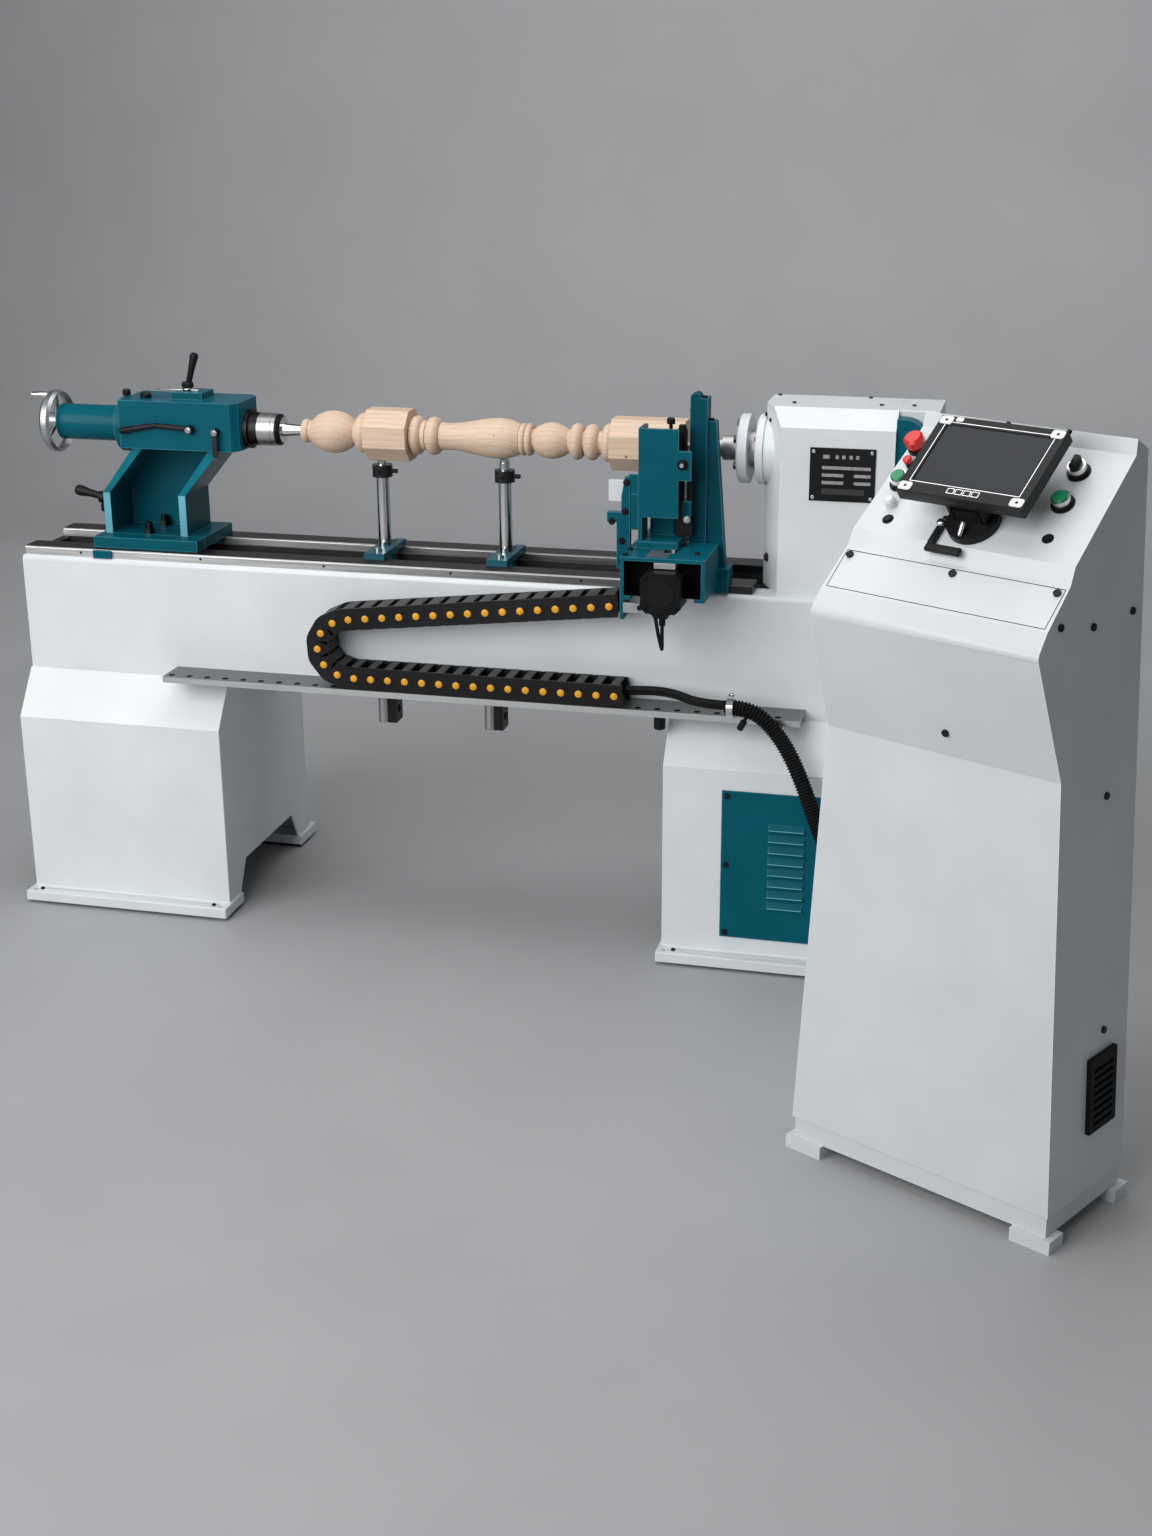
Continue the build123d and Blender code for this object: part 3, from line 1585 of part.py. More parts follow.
keep("chain_leads", tube("chain_leads", lead_route, lead_radius))
keep("hose", hose())
keep("motor_lead", motor_lead())
keep("cabinet_shell", in_place(cabinet_shell() + cabinet_feet() + hose_gland()))
keep("keyboard_panel", in_place(keyboard_panel()))
keep("vent_grille", in_place(vent_grille()))
keep("case_screws", case_screws())
keep("button_bezels", in_place(button_bezels()))
keep("emergency_stop", in_place(emergency_stop()))
keep("green_button_left", in_place(push_button(green_left_at)))
keep("green_button_right", in_place(push_button(green_right_at)))
keep("selector_knob", in_place(selector_knob()))
keep("monitor_base", in_place(monitor_base()))
keep("monitor_case", in_place(monitor_case()))
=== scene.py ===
from math import asin, atan2, cos, pi, radians, sin

import bmesh
import bpy
from mathutils import Matrix, Vector


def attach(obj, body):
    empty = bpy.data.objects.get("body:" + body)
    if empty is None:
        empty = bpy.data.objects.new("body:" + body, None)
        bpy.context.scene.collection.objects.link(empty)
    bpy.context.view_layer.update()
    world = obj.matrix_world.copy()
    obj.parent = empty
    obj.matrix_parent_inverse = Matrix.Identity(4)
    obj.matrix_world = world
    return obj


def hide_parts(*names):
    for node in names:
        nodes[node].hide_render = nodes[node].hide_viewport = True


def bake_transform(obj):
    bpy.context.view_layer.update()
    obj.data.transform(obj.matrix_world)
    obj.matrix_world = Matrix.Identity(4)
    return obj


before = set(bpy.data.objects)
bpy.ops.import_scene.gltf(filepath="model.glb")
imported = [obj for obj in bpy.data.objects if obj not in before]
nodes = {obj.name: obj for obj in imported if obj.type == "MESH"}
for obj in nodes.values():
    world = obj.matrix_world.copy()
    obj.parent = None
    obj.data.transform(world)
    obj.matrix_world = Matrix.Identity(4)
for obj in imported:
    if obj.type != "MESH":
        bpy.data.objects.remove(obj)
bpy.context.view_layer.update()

# Sizes are in millimetres, with the spindle axis in the plane Y = 0; place() turns them into the row frame.
mm = 0.001
axis_lead = 50
axis_height = 1130
half_share = 0.5

# Camera
camera_at = (1382, -4408, 1965)
camera_target = (306, -125, 410)
camera_roll = -0.32
camera_lens = 48.4
camera_near = 100
camera_far = 60000

# Console of the cabinet
cab_corner = (973.4, -1000.2)
cab_turn = -28.4
cab_depth = 254
step_front = 30
step_height = 1189
console_rear = 214
console_height = 1336
console_slope = atan2(console_height - step_height, console_rear - step_front)
monitor_across = 231
monitor_half = 118
monitor_low = 36
monitor_high = 204
monitor_front = 76
screen_side = 20
screen_low = 27
screen_high = 18
screen_depth = 2.5
lamp_at = (52, 148)
green_spots = [(55, 109), (359, 117)]
selector_at = (354, 185)

# Drag chain
chain_pitch = 40
chain_height = 50
chain_width = 70
chain_y = -180
chain_low = 615.3
chain_run_links = 16
chain_bend_links = 5
chain_bend_low_links = 3
chain_bend_radius = 67
chain_fixed_x = 435

# Leads and hose
lead_radius = 7
lead_route = [
    (436, -180, 616), (490, -184, 622), (548, -203, 624), (608, -237, 616),
    (664, -237, 616),
]
hose_radius = 15
hose_route = [
    (664.3, -237, 616), (702, -237, 616), (739, -238, 603), (774, -241, 572),
    (808, -248, 525), (840, -264, 465), (868, -288, 405), (898, -318, 350),
    (936, -352, 306), (981, -390, 272), (1030, -434, 246), (1078, -486, 226),
    (1118, -543, 212), (1157, -597, 204), (1191.4, -643.7, 201), (1205.6, -696.8, 200),
    (1198.9, -751.4, 200),
]
hose_gland_across = 80
hose_gland_length = 22
hose_height = 200
motor_lead_radius = 4
motor_gland = (541, -314, 809.7)
motor_lead_end = 435.5
motor_lead_steps = [
    (0, 0, 0), (0, 0, -32), (-3, 16, -58), (-11, 46, -62), (-26, 76, -34),
    (-41, 114, 5),
]


def place(x, y, z):
    return Vector((x * mm, (y - axis_lead) * mm, z * mm))


lathe = Matrix.Identity(4)
cabinet = Matrix.Translation((*cab_corner, 0)) @ Matrix.Rotation(radians(cab_turn), 4, "Z")
console = cabinet @ Matrix.Translation((0, step_front, step_height)) @ Matrix.Rotation(console_slope, 4, "X")
hose_end = cabinet @ Vector((hose_gland_across, cab_depth + hose_gland_length, hose_height))
hose_route.append(tuple(hose_end))
motor_lead_route = [tuple(a + b for a, b in zip(motor_gland, step)) for step in motor_lead_steps]
motor_lead_route.append((motor_lead_end, *motor_lead_route[-1][1:]))


# Materials: colours and skins, then the places where one finish gives way to another
coat_roughness = 0.2
# The edge settings below make the mask for a highlight painted along the edges of painted pieces.
edge_samples = 4
edge_stops = [(0.80, (0.6, 0.6, 0.6)), (0.97, (0, 0, 0))]
edge_reach = 3
white = (0.71, 0.745, 0.765)
teal = (0.0004, 0.094, 0.132)
# A darker copy of the teal, painted shade for the tool column.
teal_shaded = (0.0004, 0.068, 0.096)
teal_lit = (0.004, 0.165, 0.215)
# A lighter teal painted as a highlight on teal edges, on the louvres' lips and on the stand's web fronts.
teal_highlight = (0.16, 0.48, 0.58)
black = (0.010, 0.010, 0.011)
# The cabinet's white is the white paint darkened, painted shade for the lesser light on the cabinet.
cabinet_shade_share = 0.87
# A lighter white painted as a highlight along the edges of white pieces.
white_edge_highlight = (0.88, 0.90, 0.91)
peel_depth = 0.012
cast_peel = 0.09
chain_peel = 0.03
glass_peel = 0.001
mark_depth = 0.004
fine_marks = 0.002
post_marks = 0.001
chrome_marks = 0.0005
wood_skin = 0.02
along_x = (6, 500, 500)
along_y = (500, 6, 500)
along_z = (500, 500, 6)
round_x = (700, 30, 30)
along_grain = (14, 620, 620)
teal_paint = dict(roughness=(0.32, 0.44), coat=0.03, spread=0.1, specular=0.08, edge_tone=teal_highlight)
cast_paint = dict(roughness=(0.28, 0.42), coat=0.05, specular=0.1)
deck_plate_x = (499, 545)
deck_plate_y = (-290, -226)
# Where the rail fronts take a painted shadow toward the headstock.
rail_shadow_x = 500
rail_shadow_fade = (-650, 150)
slot_half = 66
# Dark grey painted in the slot between the rails as painted shade.
slot_shade_grey = (0.03, 0.03, 0.031)
# Painted highlight lines along the rails' top edges.
rail_highlight_lines = [-125, -65, 65, 125]
rail_highlight_half = 1.2
quill_dark_x = -463
web_kink = 977
tail_ring_x = -495.6
web_front = -58
web_skin = 0.8
centre_bevel_x = -421
centre_cone_x = -408.9
ring_side = 140
ring_drop = 1050
knot_radius = 6
wood_knots = [(405, -55, 1111), (103, -46, 1144)]
post_from_z = 871.3
collar_from_z = 1032.5
flange_heads_x = 647.5
motor_flange_y = -272
ring_wave = {"Scale": 26, "Distortion": 3.2, "Detail": 2, "Detail Scale": 1.2}
ring_stretch = (0.12, 1, 1)
ring_stops = [(0, (0.76, 0.565, 0.42)), (0.75, (0.79, 0.61, 0.465)), (1, (0.70, 0.50, 0.355))]
knot_stops = [(0.25, (1, 1, 1)), (0.8, (0, 0, 0))]
knot_brown = (0.16, 0.07, 0.03)


class Graph:
    """The node tree of one material, with short ways to add to it."""

    def __init__(self, name):
        self.material = bpy.data.materials.new(name)
        self.material.use_nodes = True
        self.tree = self.material.node_tree
        self.tree.nodes.clear()
        self.spot = self.node("ShaderNodeTexCoord", "Object")

    def node(self, kind, output, inputs=None, **options):
        """Adds a node, sets or links its inputs, and gives back one of its outputs."""
        node = self.tree.nodes.new(kind)
        for key, value in options.items():
            setattr(node, key, value)
        for key, value in (inputs or {}).items():
            if isinstance(value, bpy.types.NodeSocket):
                self.tree.links.new(value, node.inputs[key])
            else:
                node.inputs[key].default_value = value
        return node.outputs[output]

    def math(self, operation, first, second):
        return self.node("ShaderNodeMath", "Value", {0: first, 1: second}, operation=operation)

    def noise(self, scale, stretch=(1, 1, 1), detail=3):
        spot = self.node("ShaderNodeMapping", "Vector", {"Vector": self.spot, "Scale": stretch})
        return self.node("ShaderNodeTexNoise", "Fac", {"Vector": spot, "Scale": scale, "Detail": detail})

    def ramp(self, source, stops):
        colour = self.node("ShaderNodeValToRGB", "Color", {"Fac": source})
        elements = colour.node.color_ramp.elements
        while len(elements) < len(stops):
            elements.new(1)
        for element, (position, tone) in zip(elements, stops):
            element.position = position
            element.color = (*tone, 1)
        return colour

    def span(self, source, low, high):
        return self.node("ShaderNodeMapRange", "Result", {"Value": source, "To Min": low, "To Max": high})

    def along(self, axis):
        """The row-frame coordinate at rest, in metres."""
        return self.node("ShaderNodeSeparateXYZ", axis, {"Vector": self.spot})

    def beyond(self, axis, limit):
        """1 where the row-frame coordinate is above the limit, in millimetres, at rest."""
        return self.math("GREATER_THAN", self.along(axis), limit * mm)

    def between(self, axis, low, high):
        """1 where the row-frame coordinate lies between two limits, in millimetres, at rest."""
        return self.math("SUBTRACT", self.beyond(axis, low), self.beyond(axis, high))

    def facing(self, axis, side):
        """1 on faces turned to one side of an axis."""
        normal = self.node("ShaderNodeNewGeometry", "Normal")
        share = self.node("ShaderNodeSeparateXYZ", axis, {"Vector": normal})
        return self.math("GREATER_THAN", self.math("MULTIPLY", share, side), half_share)

    def fade(self, axis, low, high):
        """Rises from 0 to 1 between two row-frame places, in millimetres, at rest."""
        inputs = {"Value": self.along(axis), "From Min": low * mm, "From Max": high * mm}
        return self.node("ShaderNodeMapRange", "Result", inputs)

    def bumped(self, source, height):
        inputs = {"Strength": 1, "Distance": height * mm, "Height": source}
        return self.node("ShaderNodeBump", "Normal", inputs)

    def surface(self, colour, roughness, normal=None, metallic=0, coat=0, specular=0.3):
        inputs = {
            "Base Color": colour, "Roughness": roughness, "Metallic": metallic,
            "Specular IOR Level": specular, "Coat Weight": coat, "Coat Roughness": coat_roughness,
        }
        if normal is not None:
            inputs["Normal"] = normal
        return self.node("ShaderNodeBsdfPrincipled", "BSDF", inputs)

    def mixed(self, factor, first, second):
        return self.node("ShaderNodeMixShader", "Shader", {"Fac": factor, 1: first, 2: second})

    def blended(self, factor, first, second):
        inputs = {"Factor": factor, "A": first, "B": (*second, 1)}
        return self.node("ShaderNodeMix", "Result", inputs, data_type="RGBA")

    def multiplied(self, first, second):
        inputs = {"Factor": 1, "A": first, "B": second}
        return self.node("ShaderNodeMix", "Result", inputs, data_type="RGBA", blend_type="MULTIPLY")

    def edges(self, reach):
        """Near 1 along the edges of a piece and 0 on its open faces: the mask of the painted edge highlight.
        """
        soft = self.node("ShaderNodeBevel", "Normal", {"Radius": reach * mm}, samples=edge_samples)
        true = self.node("ShaderNodeNewGeometry", "Normal")
        match = self.node("ShaderNodeVectorMath", "Value", {0: soft, 1: true}, operation="DOT_PRODUCT")
        return self.ramp(match, edge_stops)

    def done(self, shader):
        output = self.tree.nodes.new("ShaderNodeOutputMaterial")
        self.tree.links.new(shader, output.inputs["Surface"])
        return self.material


def shade(colour, share):
    return tuple(channel * share for channel in colour)


def tones(colour, spread):
    return [(0.3, shade(colour, 1 - spread)), (0.7, shade(colour, 1 + spread))]


def coated(
    graph, colour, roughness=(0.32, 0.42), scale=6, peel=peel_depth, peel_scale=420, metallic=0,
    coat=0.25, spread=0.04, specular=0.3, edge_tone=None,
):
    """Paint or plastic: a soft drift of tone, a varying gloss and a fine skin, with a lighter tone painted
    along the edges as a highlight when one is given.
    """
    tone = graph.ramp(graph.noise(scale), tones(colour, spread))
    if edge_tone:
        tone = graph.blended(graph.edges(edge_reach), tone, edge_tone)
    gloss = graph.span(graph.noise(scale * 4), *roughness)
    skin = graph.bumped(graph.noise(peel_scale), peel)
    return graph.surface(tone, gloss, skin, metallic, coat, specular)


def brushed(graph, colour, stretch, roughness=(0.24, 0.4), spread=0.25, depth=mark_depth):
    """Metal with fine marks along one direction."""
    marks = graph.noise(1, stretch, 4)
    tone = graph.ramp(marks, tones(colour, spread))
    return graph.surface(tone, graph.span(marks, *roughness), graph.bumped(marks, depth), 1)


def plain(name, make, *values, **options):
    """A material of one finish."""
    graph = Graph(name)
    return graph.done(make(graph, *values, **options))


def bed_finish():
    """White paint outside, and a dark grey painted in the slot between the rails as painted shade."""
    graph = Graph("bed_finish")
    outside = coated(graph, white)
    slot = coated(graph, slot_shade_grey, (0.55, 0.7), coat=0, spread=0.25, specular=0.15)
    within = graph.between("Y", -slot_half - axis_lead, slot_half - axis_lead)
    return graph.done(graph.mixed(within, outside, slot))


def rail_steel():
    """One steel painted shaded on its top and lit on its front faces, with painted highlight lines along the
    top edges, and a painted shadow darkening the front toward the headstock.
    """
    graph = Graph("rail_steel")
    dark = brushed(graph, (0.045, 0.045, 0.046), along_x, (0.3, 0.45))
    bright = brushed(graph, (0.66, 0.66, 0.65), along_x, (0.34, 0.46))
    edge = brushed(graph, (0.24, 0.24, 0.235), along_x, (0.3, 0.42))
    top = dark
    for y in rail_highlight_lines:
        line = graph.between("Y", y - rail_highlight_half - axis_lead, y + rail_highlight_half - axis_lead)
        top = graph.mixed(line, top, edge)
    # The fronts fade into a painted shadow toward the headstock.
    fronts = graph.mixed(graph.fade("X", *rail_shadow_fade), bright, edge)
    fronts = graph.mixed(graph.beyond("X", rail_shadow_x), fronts, dark)
    return graph.done(graph.mixed(graph.facing("Y", -1), top, fronts))


def tray_finish():
    """Zinc tray, darker where its top lies in the shade of the bed."""
    graph = Graph("tray_finish")
    sides = brushed(graph, (0.62, 0.63, 0.63), along_x, (0.3, 0.45), 0.12)
    top = brushed(graph, (0.20, 0.205, 0.205), along_x, (0.35, 0.5), 0.2)
    return graph.done(graph.mixed(graph.facing("Z", 1), sides, top))


def deck_finish():
    """Teal motor box with a bare plate on its deck."""
    graph = Graph("deck_finish")
    paint = coated(graph, teal, **teal_paint)
    plate = brushed(graph, (0.50, 0.50, 0.50), along_x, (0.35, 0.5), 0.12)
    across = graph.mixed(graph.between("X", *deck_plate_x), paint, plate)
    along = graph.mixed(graph.between("Y", *(y - axis_lead for y in deck_plate_y)), paint, across)
    return graph.done(graph.mixed(graph.facing("Z", 1), paint, along))


def support_finish():
    """Teal base, chromed post and black collar of a work support."""
    graph = Graph("support_finish")
    base = coated(graph, teal)
    post = brushed(graph, (0.75, 0.75, 0.75), (60, 60, 900), (0.08, 0.16), 0.06, post_marks)
    collar = coated(graph, black, (0.3, 0.4))
    lower = graph.mixed(graph.beyond("Z", post_from_z), base, post)
    return graph.done(graph.mixed(graph.beyond("Z", collar_from_z), lower, collar))


def tail_head_finish():
    """Teal casting with a dark ring round the quill."""
    graph = Graph("tail_head_finish")
    casting = coated(graph, teal, spread=0.1, edge_tone=teal_highlight, **cast_paint)
    dark = brushed(graph, (0.030, 0.030, 0.031), round_x, (0.35, 0.5))
    return graph.done(graph.mixed(graph.beyond("X", tail_ring_x), casting, dark))


def stand_finish():
    """Teal casting whose narrow web fronts catch the light."""
    graph = Graph("stand_finish")
    grain = dict(cast_paint, peel=cast_peel, peel_scale=260)
    casting = coated(graph, teal, spread=0.14, edge_tone=teal_highlight, **grain)
    lit = coated(graph, teal_highlight, spread=0.2, **grain)
    slopes = coated(graph, teal_lit, spread=0.2, **grain)
    # The lighter teals on the web fronts are painted highlights.
    fronts = graph.between("Y", web_front - web_skin - axis_lead, web_front + web_skin - axis_lead)
    narrow = graph.mixed(graph.beyond("Z", web_kink), lit, slopes)
    return graph.done(graph.mixed(fronts, casting, narrow))


def quill_finish():
    """Steel quill, dark where it slides in the head."""
    graph = Graph("quill_finish")
    dark = brushed(graph, (0.030, 0.030, 0.031), round_x, (0.35, 0.5))
    ground = brushed(graph, (0.50, 0.49, 0.48), round_x, (0.28, 0.42), 0.18)
    return graph.done(graph.mixed(graph.beyond("X", quill_dark_x), dark, ground))


def live_centre_finish():
    """Ground nose with a black bevelled end, and a bright cone."""
    graph = Graph("live_centre_finish")
    nose = brushed(graph, (0.48, 0.47, 0.46), round_x, (0.28, 0.42), 0.18)
    end = coated(graph, black, (0.3, 0.4), coat=0, specular=0.15)
    cone = brushed(graph, (0.72, 0.72, 0.71), round_x, (0.12, 0.22), 0.1)
    front = graph.mixed(graph.beyond("X", centre_bevel_x), nose, end)
    return graph.done(graph.mixed(graph.beyond("X", centre_cone_x), front, cone))


def flange_finish():
    """White disc with dark bolt heads."""
    graph = Graph("flange_finish")
    heads = brushed(graph, (0.10, 0.10, 0.10), along_x, (0.3, 0.4))
    disc = coated(graph, white)
    return graph.done(graph.mixed(graph.beyond("X", flange_heads_x), heads, disc))


def motor_finish():
    """Black motor can with an aluminium flange at the plate."""
    graph = Graph("motor_finish")
    can = coated(graph, (0.006, 0.006, 0.007), (0.4, 0.52), coat=0, specular=0.12)
    flange = brushed(graph, (0.5, 0.5, 0.5), along_x, (0.3, 0.45))
    return graph.done(graph.mixed(graph.beyond("Y", motor_flange_y - axis_lead), can, flange))


def wood_rings(graph):
    """Year rings round an axis beside the work."""
    shift = {"Vector": graph.spot, "Location": (0, ring_side * mm, -ring_drop * mm), "Scale": ring_stretch}
    inputs = dict(ring_wave, Vector=graph.node("ShaderNodeMapping", "Vector", shift))
    form = dict(wave_type="RINGS", rings_direction="X", wave_profile="SAW")
    return graph.ramp(graph.node("ShaderNodeTexWave", "Fac", inputs, **form), ring_stops)


def knotted(graph, colour, knot):
    """The colour with a brown knot round one place."""
    places = {0: graph.spot, 1: place(*knot)}
    reach = graph.node("ShaderNodeVectorMath", "Value", places, operation="DISTANCE")
    near = graph.span(reach, 0, 1 / (knot_radius * mm))
    return graph.blended(graph.ramp(near, knot_stops), colour, knot_brown)


def wood():
    """Pale turned wood: year rings, fibres along the work, and two small knots."""
    graph = Graph("wood")
    warp = graph.noise(3, (1.4, 9, 9), 2)
    fibres = graph.ramp(graph.noise(1, along_grain, 4), [(0.35, (0.84, 0.84, 0.84)), (0.62, (1, 1, 1))])
    drift = graph.ramp(warp, [(0.3, (0.92, 0.90, 0.88)), (0.7, (1, 1, 1))])
    colour = graph.multiplied(graph.multiplied(wood_rings(graph), fibres), drift)
    for knot in wood_knots:
        colour = knotted(graph, colour, knot)
    skin = graph.bumped(graph.noise(1, along_grain, 3), wood_skin)
    return graph.done(graph.surface(colour, graph.span(warp, 0.45, 0.6), skin))


paint_white = plain("paint_white", coated, white, edge_tone=white_edge_highlight)
paint_cabinet_shaded = plain("paint_cabinet_shaded", coated, shade(white, cabinet_shade_share), edge_tone=white_edge_highlight)
paint_teal = plain("paint_teal", coated, teal, **teal_paint)
# The tool column's teal is darkened as painted shade.
paint_teal_shaded = plain("paint_teal_shaded", coated, teal_shaded, **teal_paint)
tool_steel = plain("tool_steel", brushed, (0.34, 0.34, 0.34), along_y)
turned_steel = plain("turned_steel", brushed, (0.50, 0.49, 0.48), round_x, (0.28, 0.42), 0.18)
# Lighter teal for the painted highlights on the louvres' lips.
lip_highlight_teal = plain("lip_highlight_teal", coated, teal_highlight, (0.32, 0.44), coat=0.05, spread=0.1)
block_steel = plain("block_steel", brushed, (0.42, 0.42, 0.42), along_z, (0.26, 0.4), 0.2)
spindle_steel = plain("spindle_steel", brushed, (0.46, 0.45, 0.44), round_x, (0.4, 0.52), 0.15)
dark_steel = plain("dark_steel", brushed, (0.045, 0.045, 0.047), round_x, (0.28, 0.42), 0.2)
chrome = plain("chrome", brushed, (0.78, 0.78, 0.78), (80, 80, 80), (0.07, 0.16), 0.05, chrome_marks)
satin_black = plain("satin_black", coated, black, (0.3, 0.42), coat=0.02, spread=0.25, specular=0.16)
matt_black = plain(
    "matt_black", coated, (0.008, 0.008, 0.009), (0.5, 0.62), coat=0, spread=0.2, specular=0.12,
)
# Near-black painted in holes, bores and the motor box's inside as painted shade.
hole_shade_black = plain(
    "hole_shade_black", coated, (0.004, 0.004, 0.004), (0.7, 0.8), coat=0, spread=0.2, specular=0.05,
)
aluminium = plain("aluminium", brushed, (0.46, 0.47, 0.48), round_x, (0.34, 0.46), 0.15, fine_marks)
bright_zinc = plain("bright_zinc", brushed, (0.70, 0.70, 0.70), (90, 90, 90), (0.2, 0.3), 0.12, fine_marks)
rubber = plain("rubber", coated, (0.008, 0.008, 0.008), (0.62, 0.75), coat=0, spread=0.25, specular=0.15)
chain_plastic = plain(
    "chain_plastic", coated, (0.010, 0.010, 0.011), (0.4, 0.52),
    peel=chain_peel, coat=0, spread=0.25, specular=0.2,
)
bar_plastic = plain(
    "bar_plastic", coated, (0.045, 0.045, 0.047), (0.42, 0.55), coat=0, spread=0.15, specular=0.2,
)
pin_yellow = plain("pin_yellow", coated, (0.80, 0.37, 0.012), (0.35, 0.45), coat=0.1, spread=0.08)
red_cap = plain("red_cap", coated, (0.66, 0.022, 0.015), (0.25, 0.35), coat=0.3, spread=0.08)
green_cap = plain("green_cap", coated, (0.012, 0.24, 0.095), (0.28, 0.38), coat=0.3, spread=0.08)
glass_grey = plain(
    "glass_grey", coated, (0.030, 0.033, 0.038), (0.32, 0.38),
    peel=glass_peel, coat=0, spread=0.06, specular=0.12,
)
pad_silver = plain("pad_silver", coated, (0.72, 0.72, 0.72), (0.3, 0.4), coat=0.1, spread=0.05)
print_grey = plain("print_grey", coated, (0.30, 0.30, 0.31), (0.45, 0.55), coat=0, spread=0.3, scale=300)
grey_metal = plain("grey_metal", coated, (0.42, 0.43, 0.44), (0.35, 0.48), metallic=0.6, coat=0, spread=0.08)

finishes = {
    paint_white: [
        "left_pedestal", "right_pedestal", "headstock_housing", "bearing_flange", "belt_guard",
    ],
    paint_cabinet_shaded: ["cabinet_shell", "keyboard_panel"],
    paint_teal: [
        "louvre_panel", "pulley_cover", "saddle", "guard_cover", "cross_slide",
    ],
    paint_teal_shaded: ["tool_column"],
    stand_finish(): ["tailstock_stand"],
    tail_head_finish(): ["tailstock_head"],
    flange_finish(): ["spindle_flange"],
    rail_steel(): ["bed_rails"],
    bed_finish(): ["bed"],
    live_centre_finish(): ["live_centre"],
    support_finish(): ["left_support_stand", "right_support_stand"],
    motor_finish(): ["stepper_motor"],
    wood(): ["workpiece_baluster"],
    tray_finish(): ["chain_tray"],
    deck_finish(): ["carriage_box"],
    tool_steel: ["turning_tool", "cross_screw"],
    spindle_steel: ["spindle"],
    quill_finish(): ["quill"],
    turned_steel: ["spindle_bearings", "spindle_pulley", "motor_pulley"],
    dark_steel: ["main_motor", "tailstock_clamp", "stop_lever"],
    chrome: ["left_support_rod", "right_support_rod"],
    aluminium: ["handwheel"],
    bright_zinc: ["crank_handle"],
    satin_black: [
        "quill_lock_lever", "clamp_lever", "side_lever", "selector_knob",
        "monitor_base", "monitor_case", "button_bezels", "case_screws",
    ],
    matt_black: ["vent_grille"],
    rubber: ["floor_pads", "drive_belt", "hose", "chain_leads", "motor_lead"],
    chain_plastic: ["chain_lower_run", "chain_bend_lower", "chain_bend_upper", "chain_upper_run"],
    red_cap: ["emergency_stop"],
    green_cap: ["green_button_left", "green_button_right"],
}
for material, names in finishes.items():
    for name in names:
        nodes[name].data.materials.clear()
        nodes[name].data.materials.append(material)


# Softened edges on the sheet-metal and cast pieces
edge_soft = 2
edge_fine = 1
weld_reach = 0.01
edge_angle = 28
smooth_angle = 32
soft_nodes = ["left_pedestal", "right_pedestal", "bed", "headstock_housing", "belt_guard", "cabinet_shell"]
fine_nodes = [
    "tailstock_stand", "carriage_box", "saddle", "tool_column", "guard_cover", "cross_slide", "louvre_panel",
    "monitor_case", "bed_rails",
]


def bevelled(piece, width, harden=False):
    bevel = piece.modifiers.new("soft edges", "BEVEL")
    bevel.width = width * mm
    bevel.segments = 2
    bevel.limit_method = "ANGLE"
    bevel.angle_limit = radians(edge_angle)
    bevel.harden_normals = harden


def soften(names, width):
    for name in names:
        weld = nodes[name].modifiers.new("joined", "WELD")
        weld.merge_threshold = weld_reach * mm
        bevelled(nodes[name], width, True)


# Pieces added to the frame
screw_tall_share = 0.75
screw_edge_share = 0.18
socket_share = 0.5
washer_share = 1.3
screw_sides = 18
front = (0, -1, 0)
up = (0, 0, 1)
right = (1, 0, 0)
left = (-1, 0, 0)
down = (0, 0, -1)
back_up = (0, 1, 0)
hex_sides = 6


def added(name, data):
    """A new object in the scene."""
    piece = bpy.data.objects.new(name, data)
    bpy.context.scene.collection.objects.link(piece)
    return piece


